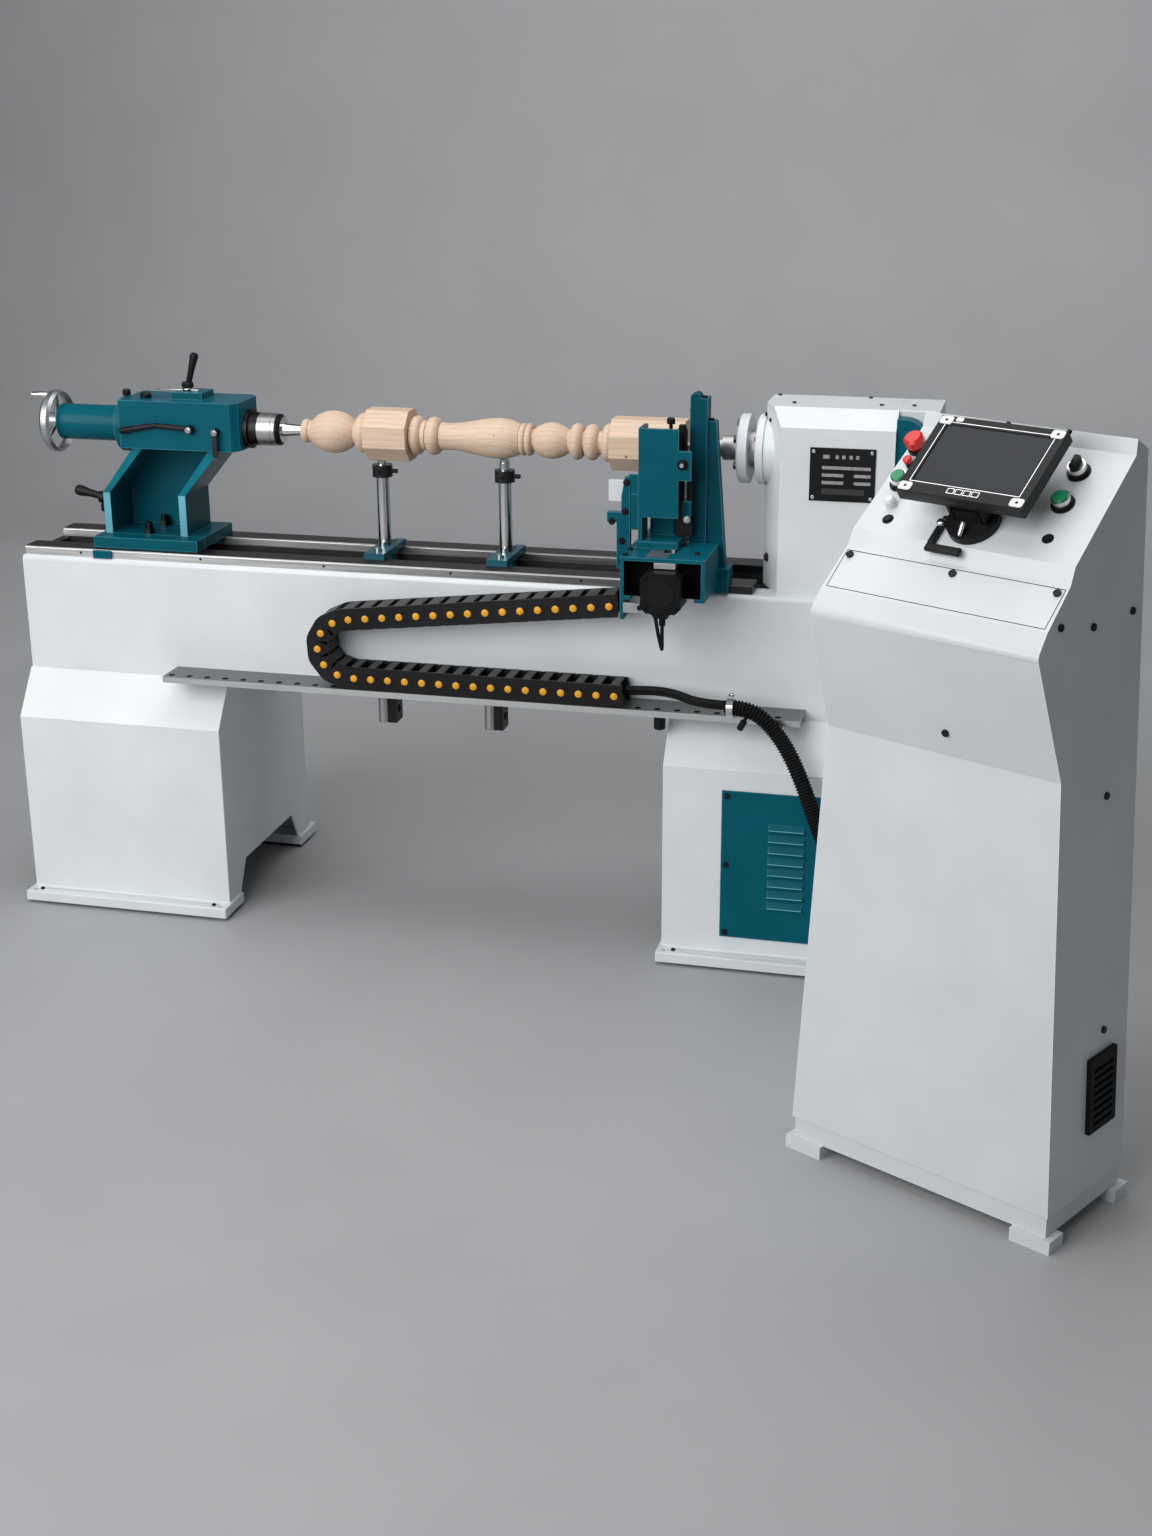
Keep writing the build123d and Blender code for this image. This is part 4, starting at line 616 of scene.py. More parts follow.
class Shape:
    """Gathers the faces of one piece, in millimetres of one of the frames above."""

    def __init__(self, frame_matrix=lathe):
        self.mesh = bmesh.new()
        self.frame = frame_matrix

    def mark(self, faces, spot):
        for face in faces:
            face.material_index = spot
            face.smooth = True

    def prism(self, outline, rise, spot=0):
        """A closed outline of points carried along one vector."""
        lows = [self.mesh.verts.new(self.frame @ Vector(point)) for point in outline]
        highs = [self.mesh.verts.new(self.frame @ (Vector(point) + Vector(rise))) for point in outline]
        faces = [self.mesh.faces.new(lows[::-1]), self.mesh.faces.new(highs)]
        for index in range(len(lows)):
            after = (index + 1) % len(lows)
            faces.append(self.mesh.faces.new((lows[index], lows[after], highs[after], highs[index])))
        self.mark(faces, spot)

    def box(self, x0, x1, y0, y1, z0, z1, spot=0):
        self.prism([(x0, y0, z0), (x1, y0, z0), (x1, y1, z0), (x0, y1, z0)], (0, 0, z1 - z0), spot)

    def lathe_turned(self, start, direction, profile, sides=24, spot=0):
        """Rings of (distance along, radius) about a line, closed at both ends."""
        base = Vector(start)
        along = Vector(direction).normalized()
        across = along.orthogonal().normalized()
        other = along.cross(across)
        rings = []
        for distance, radius in profile:
            middle = base + along * distance
            ring = []
            for index in range(sides):
                turn = 2 * pi * (index + half_share) / sides
                point = middle + (across * cos(turn) + other * sin(turn)) * radius
                ring.append(self.mesh.verts.new(self.frame @ point))
            rings.append(ring)
        faces = [self.mesh.faces.new(rings[0][::-1]), self.mesh.faces.new(rings[-1])]
        for low, high in zip(rings, rings[1:]):
            for index in range(sides):
                after = (index + 1) % sides
                faces.append(self.mesh.faces.new((low[index], low[after], high[after], high[index])))
        self.mark(faces, spot)

    def disc(self, start, direction, radius, height, sides=24, spot=0, edge=0):
        profile = [(0, radius), (height, radius)]
        if edge:
            profile = [(0, radius), (height - edge, radius), (height, radius - edge)]
        self.lathe_turned(start, direction, profile, sides, spot)

    def cap_screw(self, start, direction, radius, spot=0):
        """A socket-head screw: a rimmed disc with a sunk six-sided socket."""
        tall = radius * screw_tall_share
        bore = radius * socket_share
        profile = [(0, radius), (tall - radius * screw_edge_share, radius)]
        profile += [(tall, radius * (1 - screw_edge_share)), (tall, bore), (tall * half_share, bore)]
        self.lathe_turned(start, direction, profile, screw_sides, spot)

    def hex_bolt(self, start, direction, radius, spot=0):
        tall = radius * screw_tall_share
        self.disc(start, direction, radius * washer_share, radius * screw_edge_share, screw_sides, spot)
        self.disc(start, direction, radius, tall, hex_sides, spot, radius * screw_edge_share)

    def done(self, name, materials, body, edge=0):
        data = bpy.data.meshes.new(name)
        bmesh.ops.recalc_face_normals(self.mesh, faces=self.mesh.faces)
        self.mesh.transform(Matrix.Translation(place(0, 0, 0)) @ Matrix.Scale(mm, 4))
        self.mesh.to_mesh(data)
        self.mesh.free()
        data.set_sharp_from_angle(angle=radians(smooth_angle))
        for material in materials:
            data.materials.append(material)
        piece = added(name, data)
        if edge:
            bevelled(piece, edge)
        if body:
            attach(piece, body)
        return piece


# Chain
plate_thick = 6
plate_gap = 0.8
plate_taper = 3.5
joint_share = 0.98
joint_sink = 0.5
hub_radius = 15
hub_proud = 1.2
pin_radius = 8
pin_proud = 3
bar_thick = 4
bar_half_outer = 13
bar_half_inner = 9
hub_sides = 20
joint_sides = 28
pin_sides = 16


def chain_joints():
    points = [(chain_fixed_x - index * chain_pitch, chain_low) for index in range(chain_run_links + 1)]
    step = 2 * asin(chain_pitch * half_share / chain_bend_radius)
    middle_x, middle_z = points[-1][0], chain_low + chain_bend_radius
    for index in range(1, chain_bend_links + 1):
        turn = index * step
        points.append((middle_x - chain_bend_radius * sin(turn), middle_z - chain_bend_radius * cos(turn)))
    rise = pi - chain_bend_links * step
    x, z = points[-1]
    for index in range(1, chain_run_links + 1):
        points.append((x + index * chain_pitch * cos(rise), z + index * chain_pitch * sin(rise)))
    return points


def add_link(shape, start, end, joined):
    """One link: two side plates with a hub and a pin each, and a bar across its outer and inner edges."""
    (x0, z0), (x1, z1) = start, end
    spin = pi - atan2(z1 - z0, x1 - x0)
    middle = Matrix.Translation(((x0 + x1) * half_share, chain_y, (z0 + z1) * half_share))
    shape.frame = middle @ Matrix.Rotation(spin, 4, "Y")
    half = (chain_pitch - plate_gap) * half_share
    tall = chain_height * half_share
    wide = chain_width * half_share
    outline = [(-half, -tall), (half, -tall), (half, 0)]
    outline += [(half - plate_taper, tall), (plate_taper - half, tall), (-half, 0)]
    for side in (-1, 1):
        outer = side * wide
        shape.prism([(x, outer, z) for x, z in outline], (0, -side * plate_thick, 0), 0)
        shape.disc((0, outer, 0), (0, side, 0), hub_radius, hub_proud, hub_sides, 0, hub_proud * half_share)
        if joined:
            spot = (-chain_pitch * half_share, outer - side * joint_sink, 0)
            shape.disc(spot, (0, -side, 0), tall * joint_share, plate_thick - 2 * joint_sink, joint_sides)
    pin = [(0, pin_radius), (pin_proud * half_share, pin_radius), (pin_proud, pin_radius * half_share)]
    shape.lathe_turned((0, -wide - hub_proud, 0), front, pin, pin_sides, 1)
    inner = wide - plate_thick
    for low, reach in ((-tall, bar_half_outer), (tall - bar_thick, bar_half_inner)):
        shape.box(-reach, reach, -inner, inner, low, low + bar_thick, 2)


def chain_piece(name, first, count, body=None):
    joints = chain_joints()
    shape = Shape()
    for index in range(first, first + count):
        add_link(shape, joints[index], joints[index + 1], index + 2 < len(joints))
    return shape.done(name, [chain_plastic, pin_yellow, bar_plastic], body)


def drag_chain():
    bend = chain_run_links + chain_bend_low_links
    lower = chain_piece("chain_lower_links", 0, chain_run_links)
    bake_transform(lower)
    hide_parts("chain_lower_run")
    low_bend = chain_piece("chain_bend_low_links", chain_run_links, chain_bend_low_links, "chain_bend_lower")
    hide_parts("chain_bend_lower")
    high_count = chain_bend_links - chain_bend_low_links
    high_bend = chain_piece("chain_bend_high_links", bend, high_count, "chain_bend_upper")
    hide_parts("chain_bend_upper")
    first = chain_run_links + chain_bend_links
    upper = chain_piece("chain_upper_links", first, chain_run_links)
    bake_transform(upper)
    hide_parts("chain_upper_run")


# Leads and hose
hose_ring_pitch = 7
hose_ring_half = 3
hose_ring_proud = 3.6
second_lead_step = (0, -6, 9)
hose_ring_sides = 20
line_steps = 24


def tube(name, route, radius, body):
    curve = bpy.data.curves.new(name, "CURVE")
    curve.dimensions = "3D"
    curve.bevel_depth = radius * mm
    curve.bevel_resolution = 4
    curve.resolution_u = 12
    curve.use_fill_caps = True
    spline = curve.splines.new("NURBS")
    spline.points.add(len(route) - 1)
    for point, spot in zip(spline.points, route):
        point.co = (*place(*spot), 1)
    spline.order_u = 3
    spline.use_endpoint_u = True
    curve.materials.append(rubber)
    piece = added(name, curve)
    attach(piece, body)
    return piece


def cord(name, route, radius, body, node, extra=()):
    piece = tube(name, route, radius, body)
    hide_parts(node)


def route_line(route):
    """Points of the quadratic curve that the route's points control."""
    points = [Vector(spot) for spot in route]
    joints = [points[0]] + [(a + b) * half_share for a, b in zip(points[1:-2], points[2:-1])] + [points[-1]]
    line = [joints[0]]
    for start, control, end in zip(joints, points[1:-1], joints[1:]):
        for step in range(1, line_steps + 1):
            share = step / line_steps
            first = start.lerp(control, share)
            line.append(first.lerp(control.lerp(end, share), share))
    return line


def hose_ridges():
    """Closely set ridges along the hose."""
    shape = Shape()
    line = route_line(hose_route)
    crest = hose_radius + hose_ring_proud
    profile = [(-hose_ring_half, hose_radius), (0, crest), (hose_ring_half, hose_radius)]
    travelled = 0
    due = hose_ring_pitch
    for start, end in zip(line, line[1:]):
        length = (end - start).length
        while travelled + length >= due:
            middle = start.lerp(end, (due - travelled) / length)
            along = (end - start).normalized()
            shape.lathe_turned(middle, along, profile, hose_ring_sides)
            due += hose_ring_pitch
        travelled += length
    return shape.done("hose_ridges", [rubber], "frame")


def leads():
    cord("hose_run", hose_route, hose_radius, "frame", "hose", [hose_ridges()])
    second_route = [tuple(a + b for a, b in zip(spot, second_lead_step)) for spot in lead_route]
    second = tube("second_chain_lead", second_route, lead_radius, "frame")
    cord("chain_lead_run", lead_route, lead_radius, "frame", "chain_leads", [second])
    cord("motor_lead_run", motor_lead_route, motor_lead_radius, "carriage", "motor_lead")


# Headstock
plate_left = 813
plate_right = 951
plate_low = 1046
plate_high = 1159
head_front = -110
name_thick = 2
name_screw = 4
name_inset = 8
print_thick = 0.4
bar_shares = [
    (0.19, 0.93, 0.60), (0.19, 0.52, 0.46), (0.68, 0.93, 0.46), (0.19, 0.52, 0.32), (0.68, 0.93, 0.32),
]
bar_tall_share = 0.06
icon_shares = [(0.20, 0.30), (0.39, 0.44), (0.49, 0.54), (0.60, 0.65), (0.70, 0.75)]
icon_level_share = 0.80
icon_tall_share = 0.07
foot_bar_share = (0.19, 0.84)
foot_level_share = 0.13
foot_tall_share = 0.11
flange_bolt_circle = 62
flange_bolts = 6
flange_bolt = 5
flange_face = 689
head_screw = 4.5
head_top = 1234
slant_way = (-0.904, -0.428, 0)
slant_foot_bolt = (716.5, -39.3, 901)
slant_foot_radius = 8
slant_screws = [(704.7, -14.3, 1208), (717.9, -42.2, 1200.7)]
head_top_screws = [(763, -14), (718, 82), (915, 82), (948, -8), (1016, 0)]


def nameplate():
    shape = Shape()
    face = head_front - name_thick
    shape.box(plate_left, plate_right, face, head_front, plate_low, plate_high)
    wide, tall = plate_right - plate_left, plate_high - plate_low

    def field(start, end, level, height, spot):
        x0, x1 = plate_left + wide * start, plate_left + wide * end
        low = plate_low + tall * level
        shape.box(x0, x1, face - print_thick, face, low, low + tall * height, spot)

    for x in (plate_left + name_inset, plate_right - name_inset):
        for z in (plate_low + name_inset, plate_high - name_inset):
            shape.cap_screw((x, face, z), front, name_screw, 1)
    for start, end, level in bar_shares:
        field(start, end, level, bar_tall_share, 2)
    for start, end in icon_shares:
        field(start, end, icon_level_share, icon_tall_share, 2)
    field(*foot_bar_share, foot_level_share, foot_tall_share, 3)
    inks = [satin_black, bright_zinc, print_grey, bar_plastic]
    shape.done("nameplate", inks, "frame", print_thick * half_share)


def headstock_screws():
    shape = Shape()
    for index in range(flange_bolts):
        turn = 2 * pi * (index + half_share) / flange_bolts
        spot = (flange_face, flange_bolt_circle * cos(turn), axis_height + flange_bolt_circle * sin(turn))
        shape.cap_screw(spot, left, flange_bolt)
    for x, y in head_top_screws:
        shape.cap_screw((x, y, head_top), up, head_screw)
    for spot in slant_screws:
        shape.cap_screw(spot, slant_way, head_screw)
    shape.hex_bolt(slant_foot_bolt, slant_way, slant_foot_radius)
    shape.done("headstock_screws", [dark_steel], "frame")


# Bed and tray
rail_front = -125
rail_hole_height = 847
rail_hole_radius = 3
rail_hole_pitch = 300
rail_hole_first = -880
rail_hole_count = 6
hole_proud = 0.3
block_spots = [-143, 108]
block_wide = 45
block_round = 14
block_step = 4
block_low = 506
block_high = 564.9
block_front = -188
block_rear = -140
block_bore = 9
bore_proud = 1
clip_at = (676, -222, 637)
clip_screw = 7
tray_screw_at = (512, -190, 576)
tray_screw = 13
tray_screw_drop = 36
tray_hole_from = -634
tray_hole_pitch = 44
tray_hole_count = 33
tray_hole_y = -205
tray_hole_top = 590
tray_hole_radius = 7.5
tray_hole_skin = 0.15
knob_edge = 2
spare_start = (716, -226, 606)
spare_way = (-0.45, 0.1, -0.9)
spare_profile = [(0, 4), (26, 4), (27, 7.5), (48, 7.5), (50, 5)]


def tray_blocks():
    """Two blocks under the tray, each with a round nose and a bore in its side."""
    blocks = Shape()
    middle = ((block_front + block_rear) * half_share, (block_low + block_high) * half_share)
    for x in block_spots:
        start, end = x + block_round, x + block_wide
        blocks.disc((start, block_front + block_round, block_low), up, block_round, block_high - block_low)
        blocks.box(start, end, block_front + block_step, block_rear, block_low, block_high, 1)
        blocks.disc((end, *middle), right, block_bore, bore_proud, spot=2)
    blocks.done("tray_blocks", [block_steel, satin_black, hole_shade_black], "frame", edge_fine)


def bed_details():
    shape = Shape()
    for index in range(rail_hole_count):
        x = rail_hole_first + index * rail_hole_pitch
        shape.disc((x, rail_front, rail_hole_height), front, rail_hole_radius, hole_proud)
    for index in range(tray_hole_count):
        x = tray_hole_from + index * tray_hole_pitch
        shape.disc((x, tray_hole_y, tray_hole_top), up, tray_hole_radius, tray_hole_skin, spot=1)
    shape.disc(tray_screw_at, down, tray_screw, tray_screw_drop, edge=knob_edge)
    shape.lathe_turned(spare_start, spare_way, spare_profile)
    shape.done("bed_dark_details", [satin_black, hole_shade_black], "frame")
    tray_blocks()
    clip = Shape()
    clip.cap_screw(clip_at, up, clip_screw)
    clip.done("hose_clip_screw", [bright_zinc], "frame")


# Pedestals
panel_face = -214
louvre_middle = 802
louvre_half = 39
louvre_count = 8
louvre_pitch = 26.4
louvre_low = 149
louvre_depth = 9
lip_tall = 1.4
lip_proud = 0.4
shade_tall = 4
shade_proud = 0.2
foot_top = 32
foot_screws = [(-556, -232), (-1002, -232), (556, -232)]
foot_screw = 5


def pedestal_details():
    """Painted highlights on the louvres' lips, painted shadow under them, and the foot plates' screws."""
    shape = Shape()
    x0, x1 = louvre_middle - louvre_half, louvre_middle + louvre_half
    for index in range(louvre_count):
        z = louvre_low + index * louvre_pitch
        lip = panel_face - louvre_depth
        shape.box(x0, x1, lip - lip_proud, lip + lip_proud, z, z + lip_tall)
        shape.box(x0, x1, panel_face - shade_proud, panel_face, z - shade_tall, z, 1)
    for spot in foot_screws:
        shape.cap_screw((*spot, foot_top), up, foot_screw, 1)
    shape.done("pedestal_details", [lip_highlight_teal, matt_black], "frame")


# Tailstock
boss_top = 1212
tail_front = -70
strip_left = -716
strip_right = -612
strip_half = 6
strip_thick = 3
washer_radius = 13
washer_thick = 4.5
lock_x = -640
knob_at = (-794, 0, 1188)
knob_profile = [(0, 6), (8, 6), (8, 9.5), (19, 9.5), (22, 7)]
oil_cap_at = (-734, -26, 1196)
oil_cap_profile = [(0, 13), (9, 13), (14, 8)]
groove_left = -744
groove_right = -616
groove_low = 1139
groove_tall = 2.5
groove_proud = 1.5
pivot_screw = 5.5
pivot_caps = [
    ("side_pivot_cap", "side_lever", (-608, -86.3, 1136)),
    ("stop_pivot_cap", "stop_lever", (-545, -86.3, 1132)),
]
gib_left = -846
gib_right = -802
gib_front = -133
gib_rear = -125.3
gib_low = 837.5
gib_high = 855.5
clamp_lever_at = (-22, 958)
clamp_face = -845.3
clamp_washer = 19
clamp_washer_thick = 3
clamp_knob_x = -860
clamp_knob_profile = [(0, 6), (14, 6), (15, 10), (30, 11), (34, 8)]
lever_lean = 16
lever_collar_from = 4
lever_collar_profile = [(0, 14), (10, 14), (13, 10)]
lever_handle_profile = [(10, 6.5), (44, 7.5), (74, 10), (80, 8), (82, 4)]
side_grip_joint = (-693, -78.3, 1142)
side_grip_way = (-85, 0, -15)
side_grip_profile = [(-6, 5.5), (50, 6.5), (80, 8), (87, 7), (89, 4)]
side_rod_way = (85, 0, -6)
side_rod_profile = [(-2, 5.5), (80, 5.5)]
clamp_lean = 78
clamp_handle_from = (-858.3, -22, 958)
clamp_handle_profile = [(6, 8), (40, 9), (60, 12.5), (70, 12.5), (75, 9), (77, 4)]


def lever_handles():
    """Plastic grips over the quill lock, the side lever and the bed clamp's lever."""
    lock = Shape()
    root = (lock_x, 0, boss_top + strip_thick + lever_collar_from)
    lock.lathe_turned(root, up, lever_collar_profile, hex_sides)
    lean = radians(lever_lean)
    lock.lathe_turned(root, (sin(lean), 0, cos(lean)), lever_handle_profile)
    lock.done("quill_lock_grip", [satin_black], "quill_lock_lever", edge_fine)
    side = Shape()
    side.lathe_turned(side_grip_joint, side_grip_way, side_grip_profile)
    side.lathe_turned(side_grip_joint, side_rod_way, side_rod_profile)
    side.done("side_lever_grip", [satin_black], "side_lever")
    clamp = Shape()
    y, z = clamp_lever_at
    lean = radians(clamp_lean)
    clamp.lathe_turned(clamp_handle_from, (-sin(lean), 0, cos(lean)), clamp_handle_profile)
    clamp.lathe_turned((clamp_knob_x, y, z), down, clamp_knob_profile)
    clamp.disc((clamp_face, y, z), left, clamp_washer, clamp_washer_thick, spot=1)
    clamp.done("clamp_grip", [satin_black, bright_zinc], "clamp_lever", edge_fine)


def tailstock_details():
    shape = Shape()
    shape.lathe_turned(knob_at, up, knob_profile)
    shape.lathe_turned(oil_cap_at, up, oil_cap_profile)
    shape.done("tailstock_knobs", [satin_black], "tailstock")
    bright = Shape()
    bright.box(strip_left, strip_right, -strip_half, strip_half, boss_top, boss_top + strip_thick)
    seat = strip_thick * half_share
    bright.disc((lock_x, 0, boss_top + seat), up, washer_radius, washer_thick, edge=seat)
    bright.done("lock_strip", [bright_zinc], "tailstock", edge_fine)
    teal_bits = Shape()
    groove_top = groove_low + groove_tall
    teal_bits.box(groove_left, groove_right, tail_front - groove_proud, tail_front, groove_low, groove_top)
    teal_bits.box(gib_left, gib_right, gib_front, gib_rear, gib_low, gib_high)
    teal_bits.done("tailstock_gib", [paint_teal], "tailstock", groove_proud * half_share)
    for name, body, spot in pivot_caps:
        cap = Shape()
        cap.hex_bolt(spot, front, pivot_screw)
        cap.done(name, [bright_zinc], body)


# Work supports
collar_screw_height = 1046
collar_screw = 5
collar_reach = 23
collar_seat = 1
collar_knob = 14
support_spots = {"left_support_stand": -175, "right_support_stand": 114}


def support_details():
    for body, x in support_spots.items():
        shape = Shape()
        shape.cap_screw((x, collar_seat - collar_reach, collar_screw_height), front, collar_screw)
        spot = (x + collar_reach - collar_seat, 0, collar_screw_height)
        shape.disc(spot, right, collar_screw, collar_knob, edge=collar_seat)
        shape.done(body + "_screws", [satin_black], body)


# Carriage
deck = 949
deck_screws = [(454.5, -233), (560.5, -176), (601, -246), (454.5, -284)]
deck_screw = 6
clip_edge = 0.8
guard_face = -212
tab_bolt = (561, 1130)
tab_bolt_radius = 8
tab_washer = 12
tab_stud = 4.5
tab_stud_tall = 11
tab_washer_thick = 2
guard_top_bolt = (548, -152, 1192)
guard_top_profile = [(0, 10), (4, 10), (4, 8), (10, 8), (12, 5)]
clamp_block = (538, 557, -165, -140, 1126, 1192)
clamp_foot = (538, 573, -162, -140, 967, 1126)
clamp_sliver = (555, 560, -163, -162, 1043, 1086)
clamp_cam = (553, 572, -176, -158, 1012, 1044)
clamp_cam_bolt = (564, -176, 1006)
tool_bolt = (517, -122, 1162)
tool_bolt_profile = [(0, 4), (37, 4), (37, 9), (47, 9), (50, 6)]
column_side_bolt = (560, -110, 1227)
column_top = 1256
column_top_bolt = (588, -118)
gusset_bolt = (603, -112, 1208)
bracket_face = -206
bracket_bolts = [(440, 1086), (437, 1024), (408, 1002), (430, 960), (430, 916)]
bracket_bolt = 6
motor_face = -338
motor_middle = (541, 883)
motor_bolt_reach = 33
motor_bolt = 4.5
motor_disc = 30
motor_disc_thick = 1.5
lead_clip = (520, 566, -304, -262, 928, 940)
inner_left = 455.3
inner_right = 618.7
inner_low = 866.3
inner_high = 940.7
inner_front = -299.5
inner_rear = -258.3
liner = 0.6
rear_panel = (377, 444, -104, -100, 1023, 1070)
chain_bracket = (435.2, 486, -218, -213, 806, 828)
chain_bracket_bolt = (472, -218, 819)
bracket_webs = [
    (438, 464, -204, -199, 985, 1062), (444, 464, -204, -199, 1062, 1104),
]


def carriage_details():
    shape = Shape()
    for x, y in deck_screws:
        shape.cap_screw((x, y, deck), up, deck_screw)
    for x, z in bracket_bolts:
        shape.hex_bolt((x, bracket_face, z), front, bracket_bolt)
    shape.cap_screw((*column_top_bolt, column_top), up, deck_screw)
    shape.cap_screw(gusset_bolt, up, deck_screw)
    shape.done("carriage_screws", [satin_black], "carriage")
    bracket = Shape()
    bracket.box(*lead_clip)
    bracket.box(*chain_bracket)
    bracket.box(*rear_panel, 2)
    for web in bracket_webs:
        bracket.box(*web, 3)
    bracket.cap_screw(chain_bracket_bolt, front, bracket_bolt, 1)
    metals = [grey_metal, satin_black, paint_white, paint_teal]
    bracket.done("carriage_brackets", metals, "carriage", clip_edge)
    motor = Shape()
    x, z = motor_middle
    motor.disc((x, motor_face, z), front, motor_disc, motor_disc_thick, edge=motor_disc_thick * half_share)
    for side in (-1, 1):
        for level in (-1, 1):
            spot = (x + side * motor_bolt_reach, motor_face, z + level * motor_bolt_reach)
            motor.cap_screw(spot, front, motor_bolt)
    motor.done("motor_face", [matt_black], "carriage")
    box_liner()
    guard_details()


def box_liner():
    """Unlit black inside of the motor box."""
    shape = Shape()
    shape.box(inner_left, inner_right, inner_rear - liner, inner_rear, inner_low, inner_high)
    for x in (inner_left, inner_right - liner):
        shape.box(x, x + liner, inner_front, inner_rear, inner_low, inner_high)
    for z in (inner_low, inner_high - liner):
        shape.box(inner_left, inner_right, inner_front, inner_rear, z, z + liner)
    shape.done("motor_box_inside", [hole_shade_black], "carriage")


def guard_details():
    bolts = Shape()
    x, z = tab_bolt
    bolts.disc((x, guard_face, z), front, tab_washer, tab_washer_thick)
    bolts.hex_bolt((x, guard_face - tab_washer_thick, z), front, tab_bolt_radius)
    bolts.disc((x, guard_face - tab_washer_thick, z), front, tab_stud, tab_stud_tall, spot=1)
    bolts.lathe_turned(guard_top_bolt, up, guard_top_profile)
    bolts.lathe_turned(tool_bolt, up, tool_bolt_profile)
    bolts.box(*clamp_block)
    bolts.box(*clamp_foot)
    bolts.box(*clamp_sliver, 1)
    bolts.hex_bolt(clamp_cam_bolt, front, bracket_bolt, 1)
    bolts.box(*clamp_cam, 2)
    bolts.done("tool_clamp", [satin_black, bright_zinc, paint_teal], "tool_slide", edge_fine)
    side = Shape()
    side.hex_bolt(column_side_bolt, left, bracket_bolt)
    side.done("column_side_bolt", [satin_black], "carriage")


# Console
pad_long = 24
pad_wide = 17
pad_round = 5
pad_proud = 1.2
pad_sink = 1
pad_dot = 2.6
dot_proud = 0.3
pad_inset = 2
small_pad_long = 15
small_pad_wide = 9
small_pad_from = 30
key_left = 205
key_right = 266
key_low = 44
key_high = 55
key_count = 4
key_line = 1.1
key_gap = 2
frame_gap = 5
frame_line = 1.2
frame_proud = 0.5
top_knobs = [118, 230]
top_knob_radius = 4
top_knob_length = 9
top_knob_drop = 10
glass_thick = 0.6
lamp_height = 12
lamp_cap_radius = 8
lamp_cap_height = 8
lamp_edge = 2
flange_radius = 20
flange_tall = 2.5
ring_radius = 15.4
ring_tall = 18
screw_spots = [(73, 30), (368, 45)]
screw_ring = 10
screw_ring_tall = 1.6
keyboard_front = -51
keyboard_height = 1100
keyboard_rise = 61
keyboard_run = 68
panel_left = 23
panel_right = 437
panel_low = 6
panel_high = 84
panel_line = 1.2
panel_line_tall = 0.35
turn_handle_from = (229, 8, 15)
turn_handle_way = (0.05, 0.85, 0.5)
turn_handle_profile = [(0, 3), (3, 4.5), (24, 4.5), (27, 3)]
pivot_at = (179, 34, 8)
pivot_profile = [(0, 8), (5, 8), (8, 5)]
bar_from = 174
bar_to = 240
bar_low = -22
bar_high = -8
bar_under = 0.6
bar_top = 9
stalk_half = 6
stalk_high = 44
cap_at = (64, 60, 0)
cap_profile = [(0, 10), (14, 10), (18, 7)]


def turntable_details():
    """Bent grip and bright pins on the monitor's turntable."""
    bar = Shape(console)
    bar.box(bar_from, bar_to, bar_low, bar_high, bar_under, bar_top)
    x = pivot_at[0]
    bar.box(x - stalk_half, x + stalk_half, bar_high, stalk_high, bar_under, bar_top)
    bar.lathe_turned(turn_handle_from, turn_handle_way, turn_handle_profile, spot=1)
    bar.lathe_turned(pivot_at, up, pivot_profile, spot=1)
    bar.done("turntable_grip", [satin_black, bright_zinc], "monitor_base", edge_soft)
    cap = Shape(console)
    cap.lathe_turned(cap_at, up, cap_profile)
    cap.done("console_cap", [pad_silver], "frame")


def keyboard_outline():
    """Dark joint round the keyboard panel, and plugs round the console's screws."""
    slope = Matrix.Rotation(atan2(keyboard_rise, keyboard_run), 4, "X")
    shape = Shape(cabinet @ Matrix.Translation((0, keyboard_front, keyboard_height)) @ slope)
    border(shape, panel_left, panel_right, panel_low, panel_high, 0, panel_line, panel_line_tall)
    shape.frame = console
    for across, along in screw_spots:
        shape.disc((across, along, 0), up, screw_ring, screw_ring_tall, edge=screw_ring_tall * half_share)
    shape.done("console_dark_details", [matt_black], "frame")


def rounded(x, y, wide, tall, radius, level, corner_steps=4):
    """Outline of a rectangle with round corners, from its low corner."""
    points = []
    x0, x1 = x + radius, x + wide - radius
    y0, y1 = y + radius, y + tall - radius
    corners = [(x1, y1), (x0, y1), (x0, y0), (x1, y0)]
    for quarter, (cx, cy) in enumerate(corners):
        for step in range(corner_steps + 1):
            turn = pi * half_share * (quarter + step / corner_steps)
            points.append((cx + radius * cos(turn), cy + radius * sin(turn), level))
    return points


def border(shape, x0, x1, y0, y1, level, line, tall, spot=0):
    """Four thin bars round a rectangle."""
    shape.box(x0, x1, y0, y0 + line, level, level + tall, spot)
    shape.box(x0, x1, y1 - line, y1, level, level + tall, spot)
    shape.box(x0, x0 + line, y0 + line, y1 - line, level, level + tall, spot)
    shape.box(x1 - line, x1, y0 + line, y1 - line, level, level + tall, spot)


def monitor_details():
    x0, x1 = monitor_across - monitor_half, monitor_across + monitor_half
    top = monitor_front
    glass = Shape(console)
    left_side, right_side = x0 + screen_side, x1 - screen_side
    low, high = monitor_low + screen_low, monitor_high - screen_high
    bottom = top - screen_depth
    glass.box(left_side, right_side, low, high, bottom, bottom + glass_thick)
    glass.done("monitor_glass", [glass_grey], "monitor_case")
    lines = Shape(console)
    gap = frame_gap
    border(lines, left_side - gap, right_side + gap, low - gap, high + gap, top, frame_line, frame_proud)
    wide = (key_right - key_left) / key_count
    for index in range(key_count):
        start = key_left + index * wide
        border(lines, start, start + wide - key_gap, key_low, key_high, top, key_line, frame_proud)
    lines.done("monitor_lines", [bright_zinc], "monitor_case")
    monitor_pads(x0, x1, top)


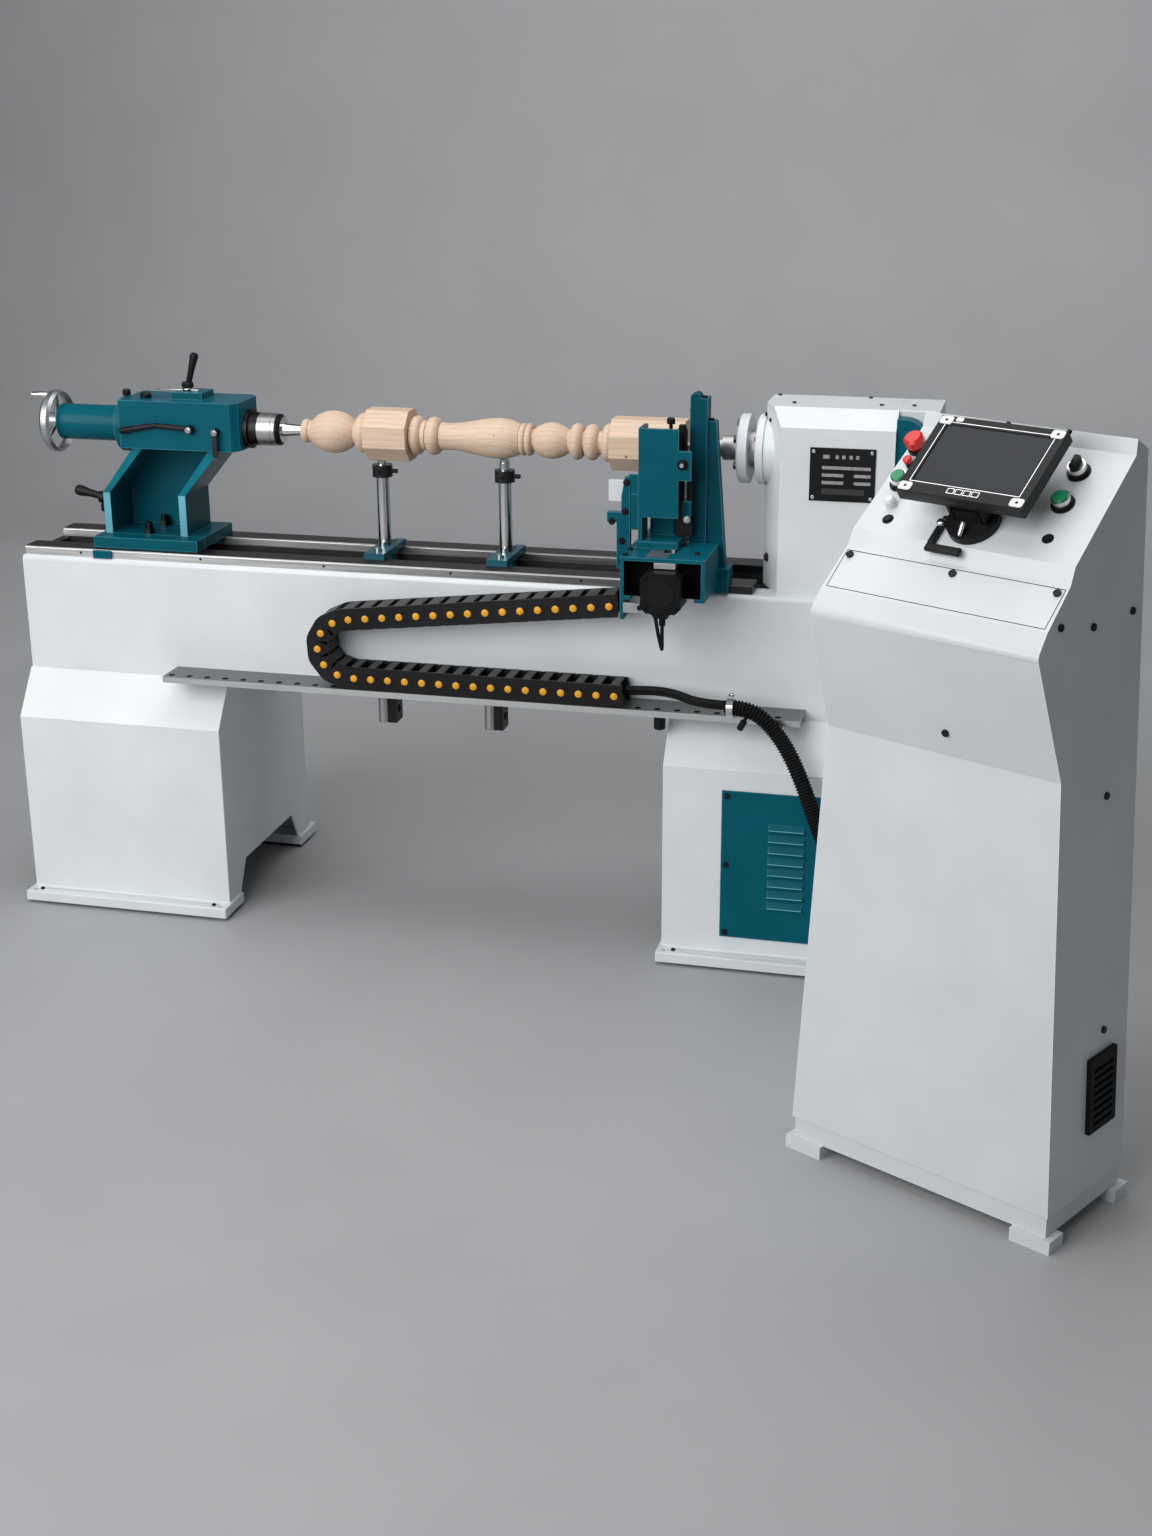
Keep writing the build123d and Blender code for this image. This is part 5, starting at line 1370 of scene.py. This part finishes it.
def monitor_pads(x0, x1, top):
    """Silver corner pads, one small pad, and two knobs on the upper edge."""
    pads = Shape(console)
    rise = (0, 0, pad_sink + pad_proud)
    for x in (x0 + pad_inset, x1 - pad_long - pad_inset):
        for y in (monitor_low + pad_inset, monitor_high - pad_wide - pad_inset):
            pads.prism(rounded(x, y, pad_long, pad_wide, pad_round, top - pad_sink), rise)
            middle = (x + pad_long * half_share, y + pad_wide * half_share, top + pad_proud)
            pads.disc(middle, up, pad_dot, dot_proud, spot=1)
    corner = (x0 + small_pad_from, monitor_high - small_pad_wide - pad_inset)
    outline = rounded(*corner, small_pad_long, small_pad_wide, small_pad_wide * half_share, top - pad_sink)
    pads.prism(outline, rise)
    for across in top_knobs:
        spot = (x0 + across, monitor_high, top - top_knob_drop)
        pads.disc(spot, back_up, top_knob_radius, top_knob_length, spot=1)
    pads.done("monitor_pads", [pad_silver, satin_black], "monitor_case")


def console_details():
    rings = Shape(console)
    for across, along in green_spots + [selector_at]:
        rings.disc((across, along, 0), up, flange_radius, flange_tall, spot=1)
        rings.disc((across, along, flange_tall), up, ring_radius, ring_tall - flange_tall)
    rings.done("button_rings", [bright_zinc, satin_black], "frame")
    lamp = Shape(console)
    lamp.disc((*lamp_at, lamp_height), up, lamp_cap_radius, lamp_cap_height, edge=lamp_edge)
    lamp.done("lamp_cap", [red_cap], "frame")


# Stage
floor_reach = 9000
floor_rear = 3600
cove = 1600
cove_steps = 14
wall_height = 5200
light_target = (200, -200, 700)
wall_target = (-200, 5200, 700)
lights = {
    "key": ((-2000, -4400, 3000), light_target, (5000, 3800), 246),
    "overhead": ((300, -300, 4300), light_target, (4200, 3000), 96),
    "fill": ((4200, -3000, 2200), light_target, (2400, 2400), 7),
    "wall_wash": ((0, 2300, 2800), wall_target, (7000, 700), 58),
}
sky_tone = (0.92, 0.96, 1, 1)
sky_strength = 0.115


def studio():
    graph = Graph("studio_grey")
    tone = graph.ramp(graph.noise(2), [(0.3, (0.365, 0.37, 0.38)), (0.7, (0.39, 0.395, 0.405))])
    material = graph.done(graph.surface(tone, graph.span(graph.noise(4), 0.5, 0.6)))
    profile = [(-floor_reach, 0), (floor_rear, 0)]
    for index in range(1, cove_steps + 1):
        turn = pi * half_share * index / cove_steps
        profile.append((floor_rear + cove * sin(turn), cove * (1 - cos(turn))))
    profile.append((floor_rear + cove, wall_height))
    data = bpy.data.meshes.new("studio_floor")
    verts = [place(x, y, z) for x in (-floor_reach, floor_reach) for y, z in profile]
    count = len(profile)
    faces = [(index, index + 1, count + index + 1, count + index) for index in range(count - 1)]
    data.from_pydata(verts, [], [face[::-1] for face in faces])
    for face in data.polygons:
        face.use_smooth = True
    data.materials.append(material)
    floor = added("studio_floor", data)


def area_light(name, at, target, size, power):
    light = bpy.data.lights.new(name, "AREA")
    light.shape = "RECTANGLE"
    light.size, light.size_y = size[0] * mm, size[1] * mm
    light.energy = power
    lamp = added(name, light)
    lamp.location = place(*at)
    aim = place(*target) - lamp.location
    lamp.rotation_euler = aim.to_track_quat("-Z", "Y").to_euler()


def lighting():
    for name, values in lights.items():
        area_light(name, *values)
    world = bpy.data.worlds.new("studio")
    world.use_nodes = True
    sky = world.node_tree.nodes["Background"]
    sky.inputs["Color"].default_value = sky_tone
    sky.inputs["Strength"].default_value = sky_strength
    bpy.context.scene.world = world


def camera():
    data = bpy.data.cameras.new("camera")
    data.lens = camera_lens
    data.clip_start = camera_near * mm
    data.clip_end = camera_far * mm
    eye = added("camera", data)
    at = place(*camera_at)
    aim = (place(*camera_target) - at).to_track_quat("-Z", "Y").to_matrix().to_4x4()
    eye.matrix_world = Matrix.Translation(at) @ aim @ Matrix.Rotation(radians(camera_roll), 4, "Z")
    bpy.context.scene.camera = eye


soften(soft_nodes, edge_soft)
soften(fine_nodes, edge_fine)
drag_chain()
leads()
nameplate()
headstock_screws()
bed_details()
pedestal_details()
tailstock_details()
lever_handles()
support_details()
carriage_details()
monitor_details()
turntable_details()
keyboard_outline()
console_details()
studio()
lighting()
camera()
bpy.context.scene.view_settings.view_transform = "Standard"
